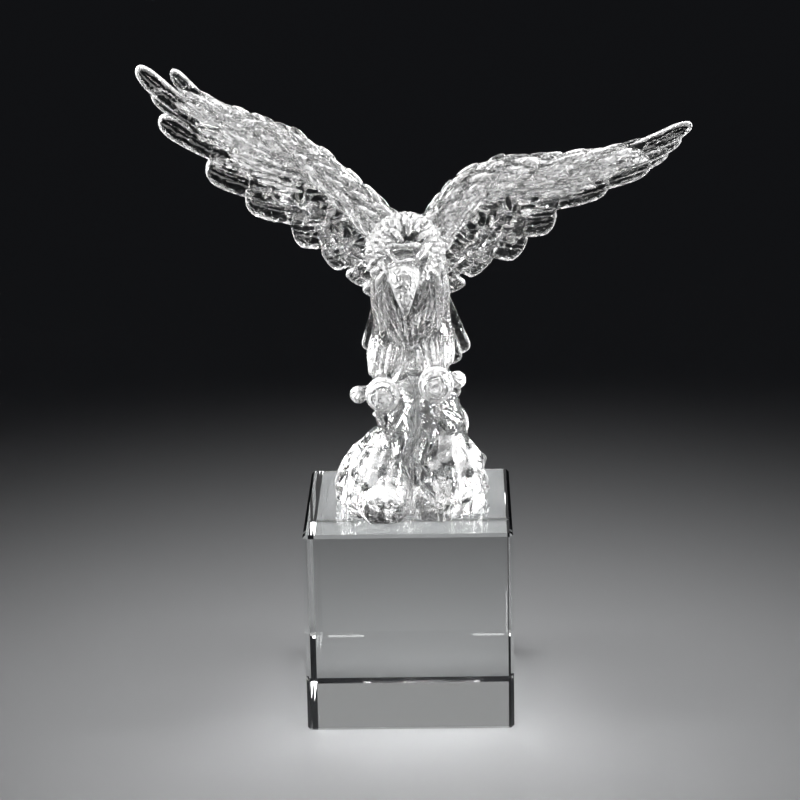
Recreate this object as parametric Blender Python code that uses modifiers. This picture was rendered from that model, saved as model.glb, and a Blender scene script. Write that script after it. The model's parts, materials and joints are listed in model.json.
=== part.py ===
"""A clear cast-crystal eagle alighting on a split rock, bonded to the top of a polished crystal cube.

Units are metres, +Z is up and the eagle faces -Y. The origin is the centre of the cube's underside.
Points of the figure are written in millimetres: x, y, and the height above the cube's top.
Left and right are those of someone who looks at the eagle's face.
"""

import math

import bmesh
import bpy
from mathutils import Matrix, Vector, noise

MM = 0.001

# The cube that the figure stands on
CUBE_SIDE = 80 * MM
CUBE_CHAMFER = 1.2 * MM
BOND_GAP = 0.3 * MM

# How the figure's skin is made from its separate forms
SKIN_VOXEL = 0.6 * MM
SKIN_SMOOTHING = 4
SKIN_TRIANGLES = 9300

# Torso, from the neck down to the belly: x, y, height, radius
TORSO = (
    (2.0, -12.0, 108.0, 9.5),
    (2.0, -9.0, 100.0, 12.0),
    (2.0, -5.5, 88.0, 13.4),
    (2.2, -2.5, 76.0, 12.8),
    (2.6, 1.0, 65.0, 11.0),
    (2.6, 5.0, 55.0, 6.5),
)

# Head, tipped forwards, and the beak that hangs from it
HEAD_CENTRE = (1.8, -19.5, 107.5)
HEAD_RADII = (11.6, 11.0, 13.4)
HEAD_TIP = math.radians(22)
BEAK = (
    (1.6, -25.0, 101.5, 6.6),
    (1.5, -31.0, 100.0, 5.6),
    (1.3, -33.5, 92.5, 3.5),
    (1.1, -33.0, 84.3, 0.8),
)
BROW = ((2.2, -30.5, 110.5, 2.6), (8.0, -28.0, 110.0, 3.0), (11.0, -22.5, 105.0, 2.4))
CHEEK = ((9.0, -26.5, 107.0, 2.6), (7.6, -28.5, 102.0, 2.6), (5.4, -30.0, 97.5, 1.6))
EYE = (7.2, -28.6, 106.0, 2.2)

# Wings. An arm is the leading edge from the shoulder out: x, y, height, radius.
# A quill is the place of its root along the arm from 0 to 1, its tip, its half width,
# and how many degrees its end turns outwards from the line between root and tip.
ARM_DEPTH = 0.62
LEFT_ARM = (
    (0.0, 0.0, 102.0, 9.0),
    (-13.0, 2.0, 115.5, 7.4),
    (-29.0, 3.0, 131.0, 6.8),
    (-45.0, 2.0, 144.0, 6.0),
    (-58.0, 0.0, 150.2, 5.0),
    (-76.0, -2.5, 159.4, 3.2),
)
LEFT_QUILLS = (
    (0.90, -86.4, 1.0, 171.6, 3.2, 12),
    (0.84, -98.9, -3.0, 174.2, 4.2, 12),
    (0.78, -93.8, -1.0, 164.0, 4.0, 10),
    (0.70, -91.8, 1.0, 153.4, 4.9, 12),
    (0.60, -74.8, 3.0, 134.4, 6.2, 15),
    (0.47, -60.4, 5.0, 121.8, 6.5, 17),
    (0.33, -43.0, 8.0, 107.4, 7.0, 14),
    (0.20, -30.6, 9.0, 96.0, 6.2, 8),
    (0.10, -20.6, 9.0, 87.4, 5.0, 4),
    (0.02, -13.4, 8.0, 81.5, 5.0, 0),
)
RIGHT_ARM = (
    (6.0, 0.0, 101.0, 8.8),
    (15.4, 2.0, 113.0, 7.6),
    (25.0, 3.0, 124.6, 7.4),
    (40.0, 2.0, 130.6, 6.8),
    (60.0, 0.0, 132.0, 5.8),
    (84.0, -2.5, 137.6, 3.4),
)
RIGHT_QUILLS = (
    (0.88, 109.0, -3.0, 148.8, 3.5, 8),
    (0.84, 105.2, -2.0, 143.6, 3.8, 10),
    (0.79, 100.4, -1.0, 138.2, 3.9, 10),
    (0.74, 94.0, 1.0, 133.0, 4.4, 11),
    (0.66, 78.2, 3.0, 125.2, 4.9, 14),
    (0.57, 58.2, 5.0, 111.4, 6.4, 20),
    (0.42, 46.2, 7.0, 100.2, 7.2, 16),
    (0.24, 31.4, 8.0, 92.6, 7.6, 10),
    (0.06, 20.3, 8.0, 83.5, 5.2, 4),
)
QUILL_HALF_THICKNESS = 1.5
QUILL_BOW = 2.5
QUILL_TILT = math.radians(9)
COVERT_ROWS = (
    # share of the quill's length, half width as a share of the quill's, half thickness, feathers for each quill
    (0.74, 0.80, 2.0, 1.0),
    (0.50, 0.62, 2.7, 1.5),
)

# Feathers that hang from the flanks: root, tip, half width. Then the tail behind the legs
FLANK_FEATHERS = (
    ((-8.0, 9.0, 86.0), (-14.4, 9.0, 59.0), 3.8),
    ((-6.0, 7.0, 82.0), (-11.6, 7.0, 54.5), 4.2),
    ((-4.0, 11.0, 88.0), (-9.0, 11.0, 58.0), 4.2),
    ((12.0, 9.0, 86.0), (21.8, 9.0, 57.5), 4.4),
    ((10.0, 7.0, 82.0), (18.4, 7.0, 54.0), 4.4),
    ((8.0, 11.0, 88.0), (14.0, 11.0, 58.0), 4.4),
)
TAIL_ROOT = (2.5, 9.0, 64.0)
TAIL_FEATHERS = 7
TAIL_SPREAD = math.radians(56)
TAIL_LEAN = 0.45
TAIL_LENGTH = 44.0
TAIL_HALF_WIDTH = 5.0

# Body plumage: rings of lance-shaped feathers whose tips draw together at the breast's middle,
# and long ribs down each side
PLUMAGE_RINGS = (
    # share along the torso of root and tip, how many, half width
    (0.02, 0.26, 13, 2.8),
    (0.12, 0.42, 14, 2.9),
    (0.26, 0.60, 14, 2.9),
    (0.42, 0.80, 14, 2.9),
    (0.56, 0.92, 13, 2.7),
)
PLUMAGE_GATHER = 0.35
SIDE_RIBS = (
    ((-7.5, -13.0, 99.0), (-9.6, -13.0, 63.0)),
    ((-10.5, -7.0, 99.0), (-12.4, -8.0, 62.0)),
    ((11.5, -13.0, 99.0), (13.6, -13.0, 66.0)),
    ((14.5, -7.0, 99.0), (17.0, -8.0, 64.0)),
)
THIGH_FEATHERS = 6

# Legs, from hip to ankle: x, y, height, radius
LEFT_LEG = ((-4.0, 0.0, 76.0, 8.0), (-5.6, -5.0, 66.0, 8.0), (-7.4, -9.0, 58.0, 6.2), (-8.8, -12.0, 50.0, 4.2))
RIGHT_LEG = ((9.0, 0.0, 77.0, 8.0), (10.8, -5.0, 68.0, 8.0), (11.4, -9.0, 61.0, 6.2), (11.2, -12.0, 54.0, 4.2))
# Toes, each from the ankle out: x, y, height, radius
LEFT_TOES = (
    ((-8.8, -12.0, 50.0, 4.2), (-9.0, -19.0, 52.0, 4.8), (-9.0, -24.5, 50.8, 6.0)),
    ((-9.5, -12.0, 50.0, 3.4), (-14.5, -16.0, 50.0, 2.7), (-18.4, -18.0, 49.2, 3.0)),
    ((-6.5, -12.0, 50.0, 3.2), (-1.8, -18.0, 46.5, 2.8), (-5.6, -23.0, 37.5, 2.0)),
    ((-8.8, -12.0, 50.0, 3.4), (-8.4, -5.0, 47.0, 3.0), (-8.4, -1.0, 44.0, 2.4)),
)
RIGHT_TOES = (
    ((11.2, -12.0, 54.0, 4.2), (11.2, -19.0, 55.0, 4.8), (11.2, -24.5, 53.6, 6.0)),
    ((12.0, -12.0, 54.0, 3.4), (16.5, -16.0, 54.4, 2.7), (19.8, -18.0, 54.0, 3.0)),
    ((9.5, -12.0, 52.0, 3.2), (8.0, -20.0, 46.0, 2.8), (8.8, -24.0, 39.5, 3.2)),
    ((11.2, -12.0, 54.0, 3.4), (10.8, -5.0, 50.0, 3.0), (10.8, -1.0, 46.0, 2.4)),
)
CLAW_LENGTH = 1.9

# Rock: centre and radii of each boulder
BOULDERS = (
    ((-11.4, -10.0, 6.0), (17.4, 19.0, 23.0)),
    ((-8.2, -12.0, 28.0), (9.4, 12.5, 15.0)),
    ((14.6, -10.0, 6.0), (16.0, 19.0, 24.0)),
    ((13.2, -12.0, 30.0), (10.2, 13.0, 15.0)),
    ((-6.0, 10.0, 8.0), (17.0, 19.0, 24.0)),
    ((12.0, 9.0, 10.0), (16.0, 19.0, 22.0)),
    ((2.4, 6.0, 38.0), (12.0, 12.0, 16.0)),
    ((2.4, -4.0, 30.0), (8.0, 13.0, 20.0)),
    ((2.0, 0.0, 8.0), (24.0, 22.0, 14.0)),
)
ROCK_ROUGHNESS = 1.9
ROCK_GRAIN = 0.085

CRYSTAL_COLOUR = (0.93, 0.95, 0.97, 1.0)
CUBE_COLOUR = (0.88, 0.93, 0.93, 1.0)


def clear_scene():
    """Removes whatever the file opened with."""
    for thing in list(bpy.data.objects):
        bpy.data.objects.remove(thing)


def crystal(name, colour):
    """A clear, polished material."""
    material = bpy.data.materials.new(name)
    material.use_nodes = True
    shader = material.node_tree.nodes["Principled BSDF"]
    shader.inputs["Base Color"].default_value = colour
    shader.inputs["Roughness"].default_value = 0.02
    shader.inputs["Metallic"].default_value = 0.0
    shader.inputs["IOR"].default_value = 1.52
    shader.inputs["Transmission Weight"].default_value = 1.0
    return material


def on_figure(x, y, height):
    """A point of the figure, from millimetres above the cube's top."""
    return Vector((x * MM, y * MM, CUBE_SIDE + height * MM))


def along(stations, share):
    """The point and radius a share of the way along stations of x, y, height and radius."""
    place = min(max(share, 0.0), 1.0) * (len(stations) - 1)
    first = min(int(place), len(stations) - 2)
    part = place - first
    mixed = [a + (b - a) * part for a, b in zip(stations[first], stations[first + 1])]
    return on_figure(*mixed[:3]), mixed[3] * MM


class Forms:
    """The closed shapes that are fused into the figure's one skin."""

    def __init__(self):
        self.mesh = bmesh.new()

    def add(self, verts, place):
        """Moves new verts by a function of their place on a sphere of radius 1."""
        for vert in verts:
            vert.co = place(vert.co.copy())

    def ball(self, centre, radii, turn=None):
        """An ellipsoid."""
        made = bmesh.ops.create_uvsphere(self.mesh, u_segments=20, v_segments=14, radius=1)
        size = Matrix.Diagonal([r * MM for r in radii])
        turned = turn or Matrix.Identity(3)
        self.add(made["verts"], lambda p: on_figure(*centre) + turned @ size @ p)

    def feather(self, root, tip, half_width, half_thickness, facing, bow=0.0, blunt=4.0, turn=0.0, tilt=0.0):
        """A sphere drawn out from root to tip: flat, parallel sided and blunt, and bowed towards facing.

        Turn bends its end sideways, and tilt rolls it about its length.
        """
        made = bmesh.ops.create_uvsphere(self.mesh, u_segments=12, v_segments=14, radius=1)
        span = tip - root
        across = span.cross(facing).normalized()
        outward = across.cross(span).normalized()
        sweep = across * span.length * math.tan(turn)
        lean = Matrix.Rotation(tilt, 3, span)

        def place(p):
            ring = math.hypot(p.x, p.y) or 1.0
            share = (p.z + 1) / 2
            hump = 4 * share * (1 - share)
            width = (1 - abs(p.z) ** blunt) ** (1 / blunt) * half_width * (0.7 + 0.3 * share)
            heading = (span + sweep * (2 - 4 * share)).normalized()
            sideways = outward.cross(heading) * p.x / ring * width
            through = outward * p.y / ring * half_thickness * (1 - abs(p.z) ** 6) ** 0.5
            middle = root + span * share + sweep * hump / 2 + outward * bow * hump
            return middle + lean @ (sideways + through)

        self.add(made["verts"], place)

    def limb(self, stations, depth=1.0):
        """A tube through stations of x, y, height and radius, flattened front to back by depth."""
        curve = bpy.data.curves.new("limb", "CURVE")
        curve.dimensions = "3D"
        curve.bevel_depth = MM
        curve.bevel_resolution = 4
        curve.resolution_u = 6
        curve.use_fill_caps = True
        spline = curve.splines.new("BEZIER")
        spline.bezier_points.add(len(stations) - 1)
        for point, (x, y, height, radius) in zip(spline.bezier_points, stations):
            point.co = on_figure(x, y / depth, height)
            point.radius = radius
            point.handle_left_type = "AUTO"
            point.handle_right_type = "AUTO"
        tube = bpy.data.objects.new("limb", curve)
        bpy.context.scene.collection.objects.link(tube)
        bpy.context.view_layer.update()
        solid = bpy.data.meshes.new_from_object(tube.evaluated_get(bpy.context.evaluated_depsgraph_get()))
        solid.transform(Matrix.Diagonal((1.0, depth, 1.0, 1.0)))
        before = len(self.mesh.verts)
        self.mesh.from_mesh(solid)
        self.mesh.verts.ensure_lookup_table()
        bmesh.ops.remove_doubles(self.mesh, verts=self.mesh.verts[before:], dist=0.01 * MM)
        bpy.data.objects.remove(tube)
        bpy.data.curves.remove(curve)
        bpy.data.meshes.remove(solid)

    def boulder(self, centre, radii):
        """A rounded stone with a broken surface."""
        made = bmesh.ops.create_icosphere(self.mesh, subdivisions=4, radius=1)

        def place(p):
            spot = Vector([c + r * q for c, r, q in zip(centre, radii, p)])
            broken = noise.cell(spot * ROCK_GRAIN) - 0.5 + noise.noise(spot * ROCK_GRAIN * 1.7)
            return on_figure(*(spot + p * ROCK_ROUGHNESS * broken))

        self.add(made["verts"], place)


def between(quills, place):
    """A quill part of the way between two of the quills that are listed."""
    first = min(int(place), len(quills) - 2)
    part = place - first
    return [a + (b - a) * part for a, b in zip(quills[first], quills[first + 1])]


def add_wing(forms, arm, quills, side):
    """The feathered arm, its flight feathers, and the coverts that overlap their roots."""
    forms.limb(arm, ARM_DEPTH)
    forwards = Vector((0, -1, 0))

    def blade(quill, reach, narrower, half_thickness):
        share, x, y, height, half_width, degrees = quill
        root, _ = along(arm, share)
        tip = root.lerp(on_figure(x, y, height), reach)
        turn = side * math.radians(degrees) * reach
        width = half_width * narrower * MM
        tilt = side * QUILL_TILT
        forms.feather(root, tip, width, half_thickness * MM, forwards, QUILL_BOW * MM, 5.0, turn, tilt)

    for quill in quills:
        blade(quill, 1.0, 1.0, QUILL_HALF_THICKNESS)
    for reach, narrower, half_thickness, density in COVERT_ROWS:
        count = round((len(quills) - 1) * density)
        for i in range(count):
            blade(between(quills, (i + 0.5) / density), reach, narrower, half_thickness)


def torso_point(share, angle, lift):
    """A point round the torso, with angle 0 facing forwards, and the way out of its skin."""
    centre, radius = along(TORSO, share)
    outward = Vector((math.sin(angle), -math.cos(angle), 0))
    return centre + outward * (radius + lift * MM), outward


def mirrored(stations, middle):
    """The same stations on the other side of a plane of constant x."""
    return [(2 * middle - x, y, height, radius) for x, y, height, radius in stations]


def add_body(forms):
    """Torso, head, beak and the lance-shaped feathers of neck and breast."""
    forms.limb(TORSO)
    forms.ball(HEAD_CENTRE, HEAD_RADII, Matrix.Rotation(HEAD_TIP, 3, "X"))
    forms.limb(BEAK)
    x, y, height, radius = EYE
    for centre in (x, 2 * HEAD_CENTRE[0] - x):
        forms.ball((centre, y, height), (radius,) * 3)
    for ridge in (BROW, CHEEK):
        forms.limb(ridge)
        forms.limb(mirrored(ridge, HEAD_CENTRE[0]))
    for row, (start, end, count, half_width) in enumerate(PLUMAGE_RINGS):
        for i in range(count):
            angle = math.tau * (i + 0.5 * (row % 2)) / count
            root, outward = torso_point(start, angle, 0.5)
            tip, _ = torso_point(end, angle - PLUMAGE_GATHER * math.sin(angle), 1.0)
            forms.feather(root, tip, half_width * MM, 1.6 * MM, outward, 1.0 * MM, 2.5)
    for top, end in SIDE_RIBS:
        root = on_figure(*top)
        outward = Vector((root.x - TORSO[0][0] * MM, -8 * MM, 0))
        forms.feather(root, on_figure(*end), 2.4 * MM, 2.4 * MM, outward, 1.5 * MM, 3.0)


def add_flanks_and_tail(forms):
    """The feathers that hang beside the thighs, and the fanned tail behind them."""
    forwards = Vector((0, -1, 0))
    for root, tip, half_width in FLANK_FEATHERS:
        forms.feather(on_figure(*root), on_figure(*tip), half_width * MM, 1.5 * MM, forwards, 1.0 * MM, 3.5)
    root = on_figure(*TAIL_ROOT)
    for i in range(TAIL_FEATHERS):
        turn = TAIL_SPREAD * (i / (TAIL_FEATHERS - 1) - 0.5)
        way = Vector((math.sin(turn), TAIL_LEAN, -math.cos(turn))).normalized()
        length = TAIL_LENGTH * (1 - 0.35 * abs(turn / TAIL_SPREAD))
        tip = root + way * length * MM
        forms.feather(root, tip, TAIL_HALF_WIDTH * MM, 1.6 * MM, Vector((0, 1, 0)), 2.0 * MM, 5.0)


def add_leg(forms, leg, toes):
    """Thigh with its ribs of long feathers, shank, and a foot whose claws grip the rock."""
    forms.limb(leg)
    for i in range(THIGH_FEATHERS):
        angle = math.radians(-100 + 200 * i / (THIGH_FEATHERS - 1))
        outward = Vector((math.sin(angle), -math.cos(angle), 0))
        top, wide = along(leg, 0.1)
        low, narrow = along(leg, 0.8)
        root = top + outward * wide * 0.7
        tip = low + outward * (narrow + 0.6 * MM)
        forms.feather(root, tip, 2.2 * MM, 1.5 * MM, outward, 1.2 * MM, 2.5)
    for toe in toes:
        forms.limb(toe)
        x, y, height, radius = toe[-1]
        forms.ball((x, y, height), (radius,) * 3)
        add_claw(forms, toe[-2], toe[-1])


def add_claw(forms, knuckle, end):
    """A hooked claw that leaves the toe's end and curls down to the rock."""
    ahead = Vector(end[:3]) - Vector(knuckle[:3])
    ahead.z = 0
    ahead.normalize()
    size = end[3]
    base = Vector(end[:3]) + Vector((0, 0, -0.3 * size))
    bend = base + ahead * 0.45 * size + Vector((0, 0, -0.7 * size))
    tip = base + ahead * 0.1 * size + Vector((0, 0, -CLAW_LENGTH * size))
    forms.limb(((*base, 0.6 * size), (*bend, 0.35 * size), (*tip, 0.5)))


def add_rock(forms):
    """The split rock, as stones that overlap."""
    for centre, radii in BOULDERS:
        forms.boulder(centre, radii)


def triangles_in(thing):
    """How many triangles the object has once its modifiers are applied."""
    bpy.context.view_layer.update()
    mesh = thing.evaluated_get(bpy.context.evaluated_depsgraph_get()).to_mesh()
    mesh.calc_loop_triangles()
    return len(mesh.loop_triangles)


def fused(name, forms, material, parts, cutters):
    """One closed skin round all the forms, thinned to a few thousand faces and cut flat below."""
    mesh = bpy.data.meshes.new(name)
    forms.mesh.to_mesh(mesh)
    forms.mesh.free()
    mesh.materials.append(material)
    figure = bpy.data.objects.new(name, mesh)
    parts.objects.link(figure)

    skin = figure.modifiers.new("one skin", "REMESH")
    skin.mode = "VOXEL"
    skin.voxel_size = SKIN_VOXEL
    skin.use_smooth_shade = True
    polish = figure.modifiers.new("polish", "SMOOTH")
    polish.factor = 0.5
    polish.iterations = SKIN_SMOOTHING
    thin = figure.modifiers.new("fewer faces", "DECIMATE")
    thin.ratio = SKIN_TRIANGLES / triangles_in(figure)

    bpy.ops.mesh.primitive_cube_add(size=2 * CUBE_SIDE, location=(0, 0, BOND_GAP))
    below = bpy.context.object
    below.name = "cut_below_figure"
    below.hide_render = True
    below.display_type = "WIRE"
    move_to(below, cutters)
    flat = figure.modifiers.new("flat foot", "BOOLEAN")
    flat.operation = "DIFFERENCE"
    flat.object = below
    return figure


def move_to(thing, collection):
    """Keeps the object in one collection only."""
    for holder in list(thing.users_collection):
        holder.objects.unlink(thing)
    collection.objects.link(thing)


def make_cube(parts, material):
    """The polished cube, with its narrow chamfers."""
    bpy.ops.mesh.primitive_cube_add(size=CUBE_SIDE, location=(0, 0, CUBE_SIDE / 2))
    cube = bpy.context.object
    cube.name = "crystal_cube_plinth"
    cube.data.materials.append(material)
    chamfer = cube.modifiers.new("chamfer", "BEVEL")
    chamfer.width = CUBE_CHAMFER
    chamfer.segments = 1
    move_to(cube, parts)
    return cube


def make_eagle(parts, cutters, material):
    """The eagle and its rock, cast as one piece."""
    forms = Forms()
    add_body(forms)
    add_wing(forms, LEFT_ARM, LEFT_QUILLS, -1)
    add_wing(forms, RIGHT_ARM, RIGHT_QUILLS, 1)
    add_flanks_and_tail(forms)
    add_leg(forms, LEFT_LEG, LEFT_TOES)
    add_leg(forms, RIGHT_LEG, RIGHT_TOES)
    add_rock(forms)
    return fused("eagle_on_rock", forms, material, parts, cutters)


def main():
    """Builds both pieces of the figurine."""
    clear_scene()
    parts = bpy.data.collections.new("crystal eagle figurine")
    cutters = bpy.data.collections.new("cutters")
    bpy.context.scene.collection.children.link(parts)
    bpy.context.scene.collection.children.link(cutters)
    make_cube(parts, crystal("clear cube crystal", CUBE_COLOUR))
    make_eagle(parts, cutters, crystal("clear cast crystal", CRYSTAL_COLOUR))


main()
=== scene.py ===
"""Looks of the crystal eagle figurine: its cast skin, its polished cube and the studio.

Lengths are metres, +Z is up and the eagle faces -Y. Points of the figure are written in
millimetres: x, y, and the height above the cube's top. Left and right are those of someone who
looks at its face.
"""

import json
import logging
import math
from collections.abc import Mapping, Sequence
from dataclasses import dataclass, field, replace
from enum import Enum
from typing import Any

import bpy
import numpy as np
from mathutils import Matrix, Vector, noise

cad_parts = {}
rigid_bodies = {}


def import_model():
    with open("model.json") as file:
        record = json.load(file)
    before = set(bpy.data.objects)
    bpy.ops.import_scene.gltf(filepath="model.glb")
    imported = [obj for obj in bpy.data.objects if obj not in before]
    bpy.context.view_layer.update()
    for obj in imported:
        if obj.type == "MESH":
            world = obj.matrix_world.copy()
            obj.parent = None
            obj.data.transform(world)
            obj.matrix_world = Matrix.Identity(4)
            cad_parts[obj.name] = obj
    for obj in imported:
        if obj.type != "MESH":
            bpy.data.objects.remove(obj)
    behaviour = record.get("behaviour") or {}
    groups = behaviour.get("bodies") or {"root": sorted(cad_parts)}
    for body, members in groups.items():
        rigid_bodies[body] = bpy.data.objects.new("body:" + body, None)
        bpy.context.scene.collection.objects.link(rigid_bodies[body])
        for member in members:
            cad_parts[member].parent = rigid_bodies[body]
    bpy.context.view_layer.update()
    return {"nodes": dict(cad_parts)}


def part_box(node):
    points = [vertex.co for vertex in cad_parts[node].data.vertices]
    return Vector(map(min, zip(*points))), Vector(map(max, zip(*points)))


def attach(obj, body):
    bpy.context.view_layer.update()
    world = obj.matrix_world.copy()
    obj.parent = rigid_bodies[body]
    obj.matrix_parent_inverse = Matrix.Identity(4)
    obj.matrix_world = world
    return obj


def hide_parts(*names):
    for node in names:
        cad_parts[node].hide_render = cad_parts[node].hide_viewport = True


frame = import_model()

LOG = logging.getLogger("crystal_eagle")
MM = 0.001
CUBE_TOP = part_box("crystal_cube_plinth")[1].z
FIGURE_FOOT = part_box("eagle_on_rock")[0].z
FORWARDS = Vector((0, -1, 0))
# Not quite forwards, so that a limb that runs straight forwards has a broad side too.
LIMB_FACE = Vector((0.01, -1, 0.02))
GOLDEN_SHARE = (math.sqrt(5) - 1) / 2
GOLDEN_ANGLE = math.tau * GOLDEN_SHARE
# The angle from one slender feather's bend to the next one's.
WAVE_STEP = 2.4
TINY = 1e-6

Point = tuple[float, float, float]
# x, y, height and radius, in millimetres.
Station = tuple[float, float, float, float]
# Share along the arm; x, y and height of the tip; half width; sweep in degrees.
Quill = tuple[float, float, float, float, float, float]


class Side(Enum):
    """Which side of the figure a form is on, as the sign of its x."""

    LEFT = -1
    RIGHT = 1


class Surface(Enum):
    """How strongly the mould's texture shows on a form, from deep and clear with dark painted
    shade, through clear, to matt.
    """

    # Clear crystal whose fibres are deeper and whose base colour carries the darkest painted shade.
    DEEP = -1.0
    CLEAR = 0.0
    RIPPLED = 0.3
    FIBROUS = 0.6
    FROSTED = 1.0
    MATT = 2.0


def on_figure(x: float, y: float, height: float) -> Vector:
    """A point of the figure in metres.

    Args:
        x: Millimetres to the right of the cube's centre.
        y: Millimetres behind the cube's centre.
        height: Millimetres above the cube's top.

    Returns:
        The point in the frame of the CAD.
    """
    return Vector((x * MM, y * MM, CUBE_TOP + height * MM))


def choose(*pieces: bpy.types.Object) -> None:
    """Selects these objects alone, and makes the first one active.

    Args:
        pieces: The objects that the next operator acts on.
    """
    bpy.ops.object.select_all(action="DESELECT")
    for piece in pieces:
        piece.select_set(True)
    bpy.context.view_layer.objects.active = pieces[0]


def along(stations: Sequence[Station], share: float) -> tuple[Vector, float]:
    """Finds a place on a line of stations.

    Args:
        stations: x, y, height and radius of each station, in millimetres.
        share: The place, from 0 at the first station to 1 at the last.

    Returns:
        The point and the radius there, in metres.
    """
    place = min(max(share, 0.0), 1.0) * (len(stations) - 1)
    first = min(int(place), len(stations) - 2)
    part = place - first
    mixed = [a + (b - a) * part for a, b in zip(stations[first], stations[first + 1])]
    return on_figure(*mixed[:3]), mixed[3] * MM


def mirrored(stations: Sequence[Station], middle: float) -> list[Station]:
    """The same stations on the other side of the plane x = middle, in millimetres."""
    return [(2 * middle - x, y, height, radius) for x, y, height, radius in stations]


def ramp(value: float, low: float, high: float) -> float:
    """How far a value has come from low to high, held between 0 and 1."""
    return min(max((value - low) / (high - low), 0.0), 1.0)


def squared(x: float, y: float, squareness: float) -> float:
    """How far a rounded square reaches in the direction x, y, against the unit circle."""
    return (abs(x) ** squareness + abs(y) ** squareness) ** (-1 / squareness)


def scattered(i: int, power: int = 1) -> float:
    """A share between 0 and 1 that spreads evenly as i counts up."""
    return i * GOLDEN_SHARE**power % 1


def facing_frame(start: Vector, end: Vector, facing: Vector) -> Matrix:
    """Makes the placing of a form that runs from one point to another.

    Args:
        start: Where the form begins.
        end: Where it ends.
        facing: The way that its broad side looks, roughly.

    Returns:
        A matrix whose x runs from start to end, whose z looks to facing and whose origin is
        halfway.
    """
    ahead = (end - start).normalized()
    across = facing.cross(ahead).normalized()
    outward = ahead.cross(across)
    placed = Matrix((ahead, across, outward)).transposed().to_4x4()
    placed.translation = (start + end) / 2
    return placed


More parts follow.
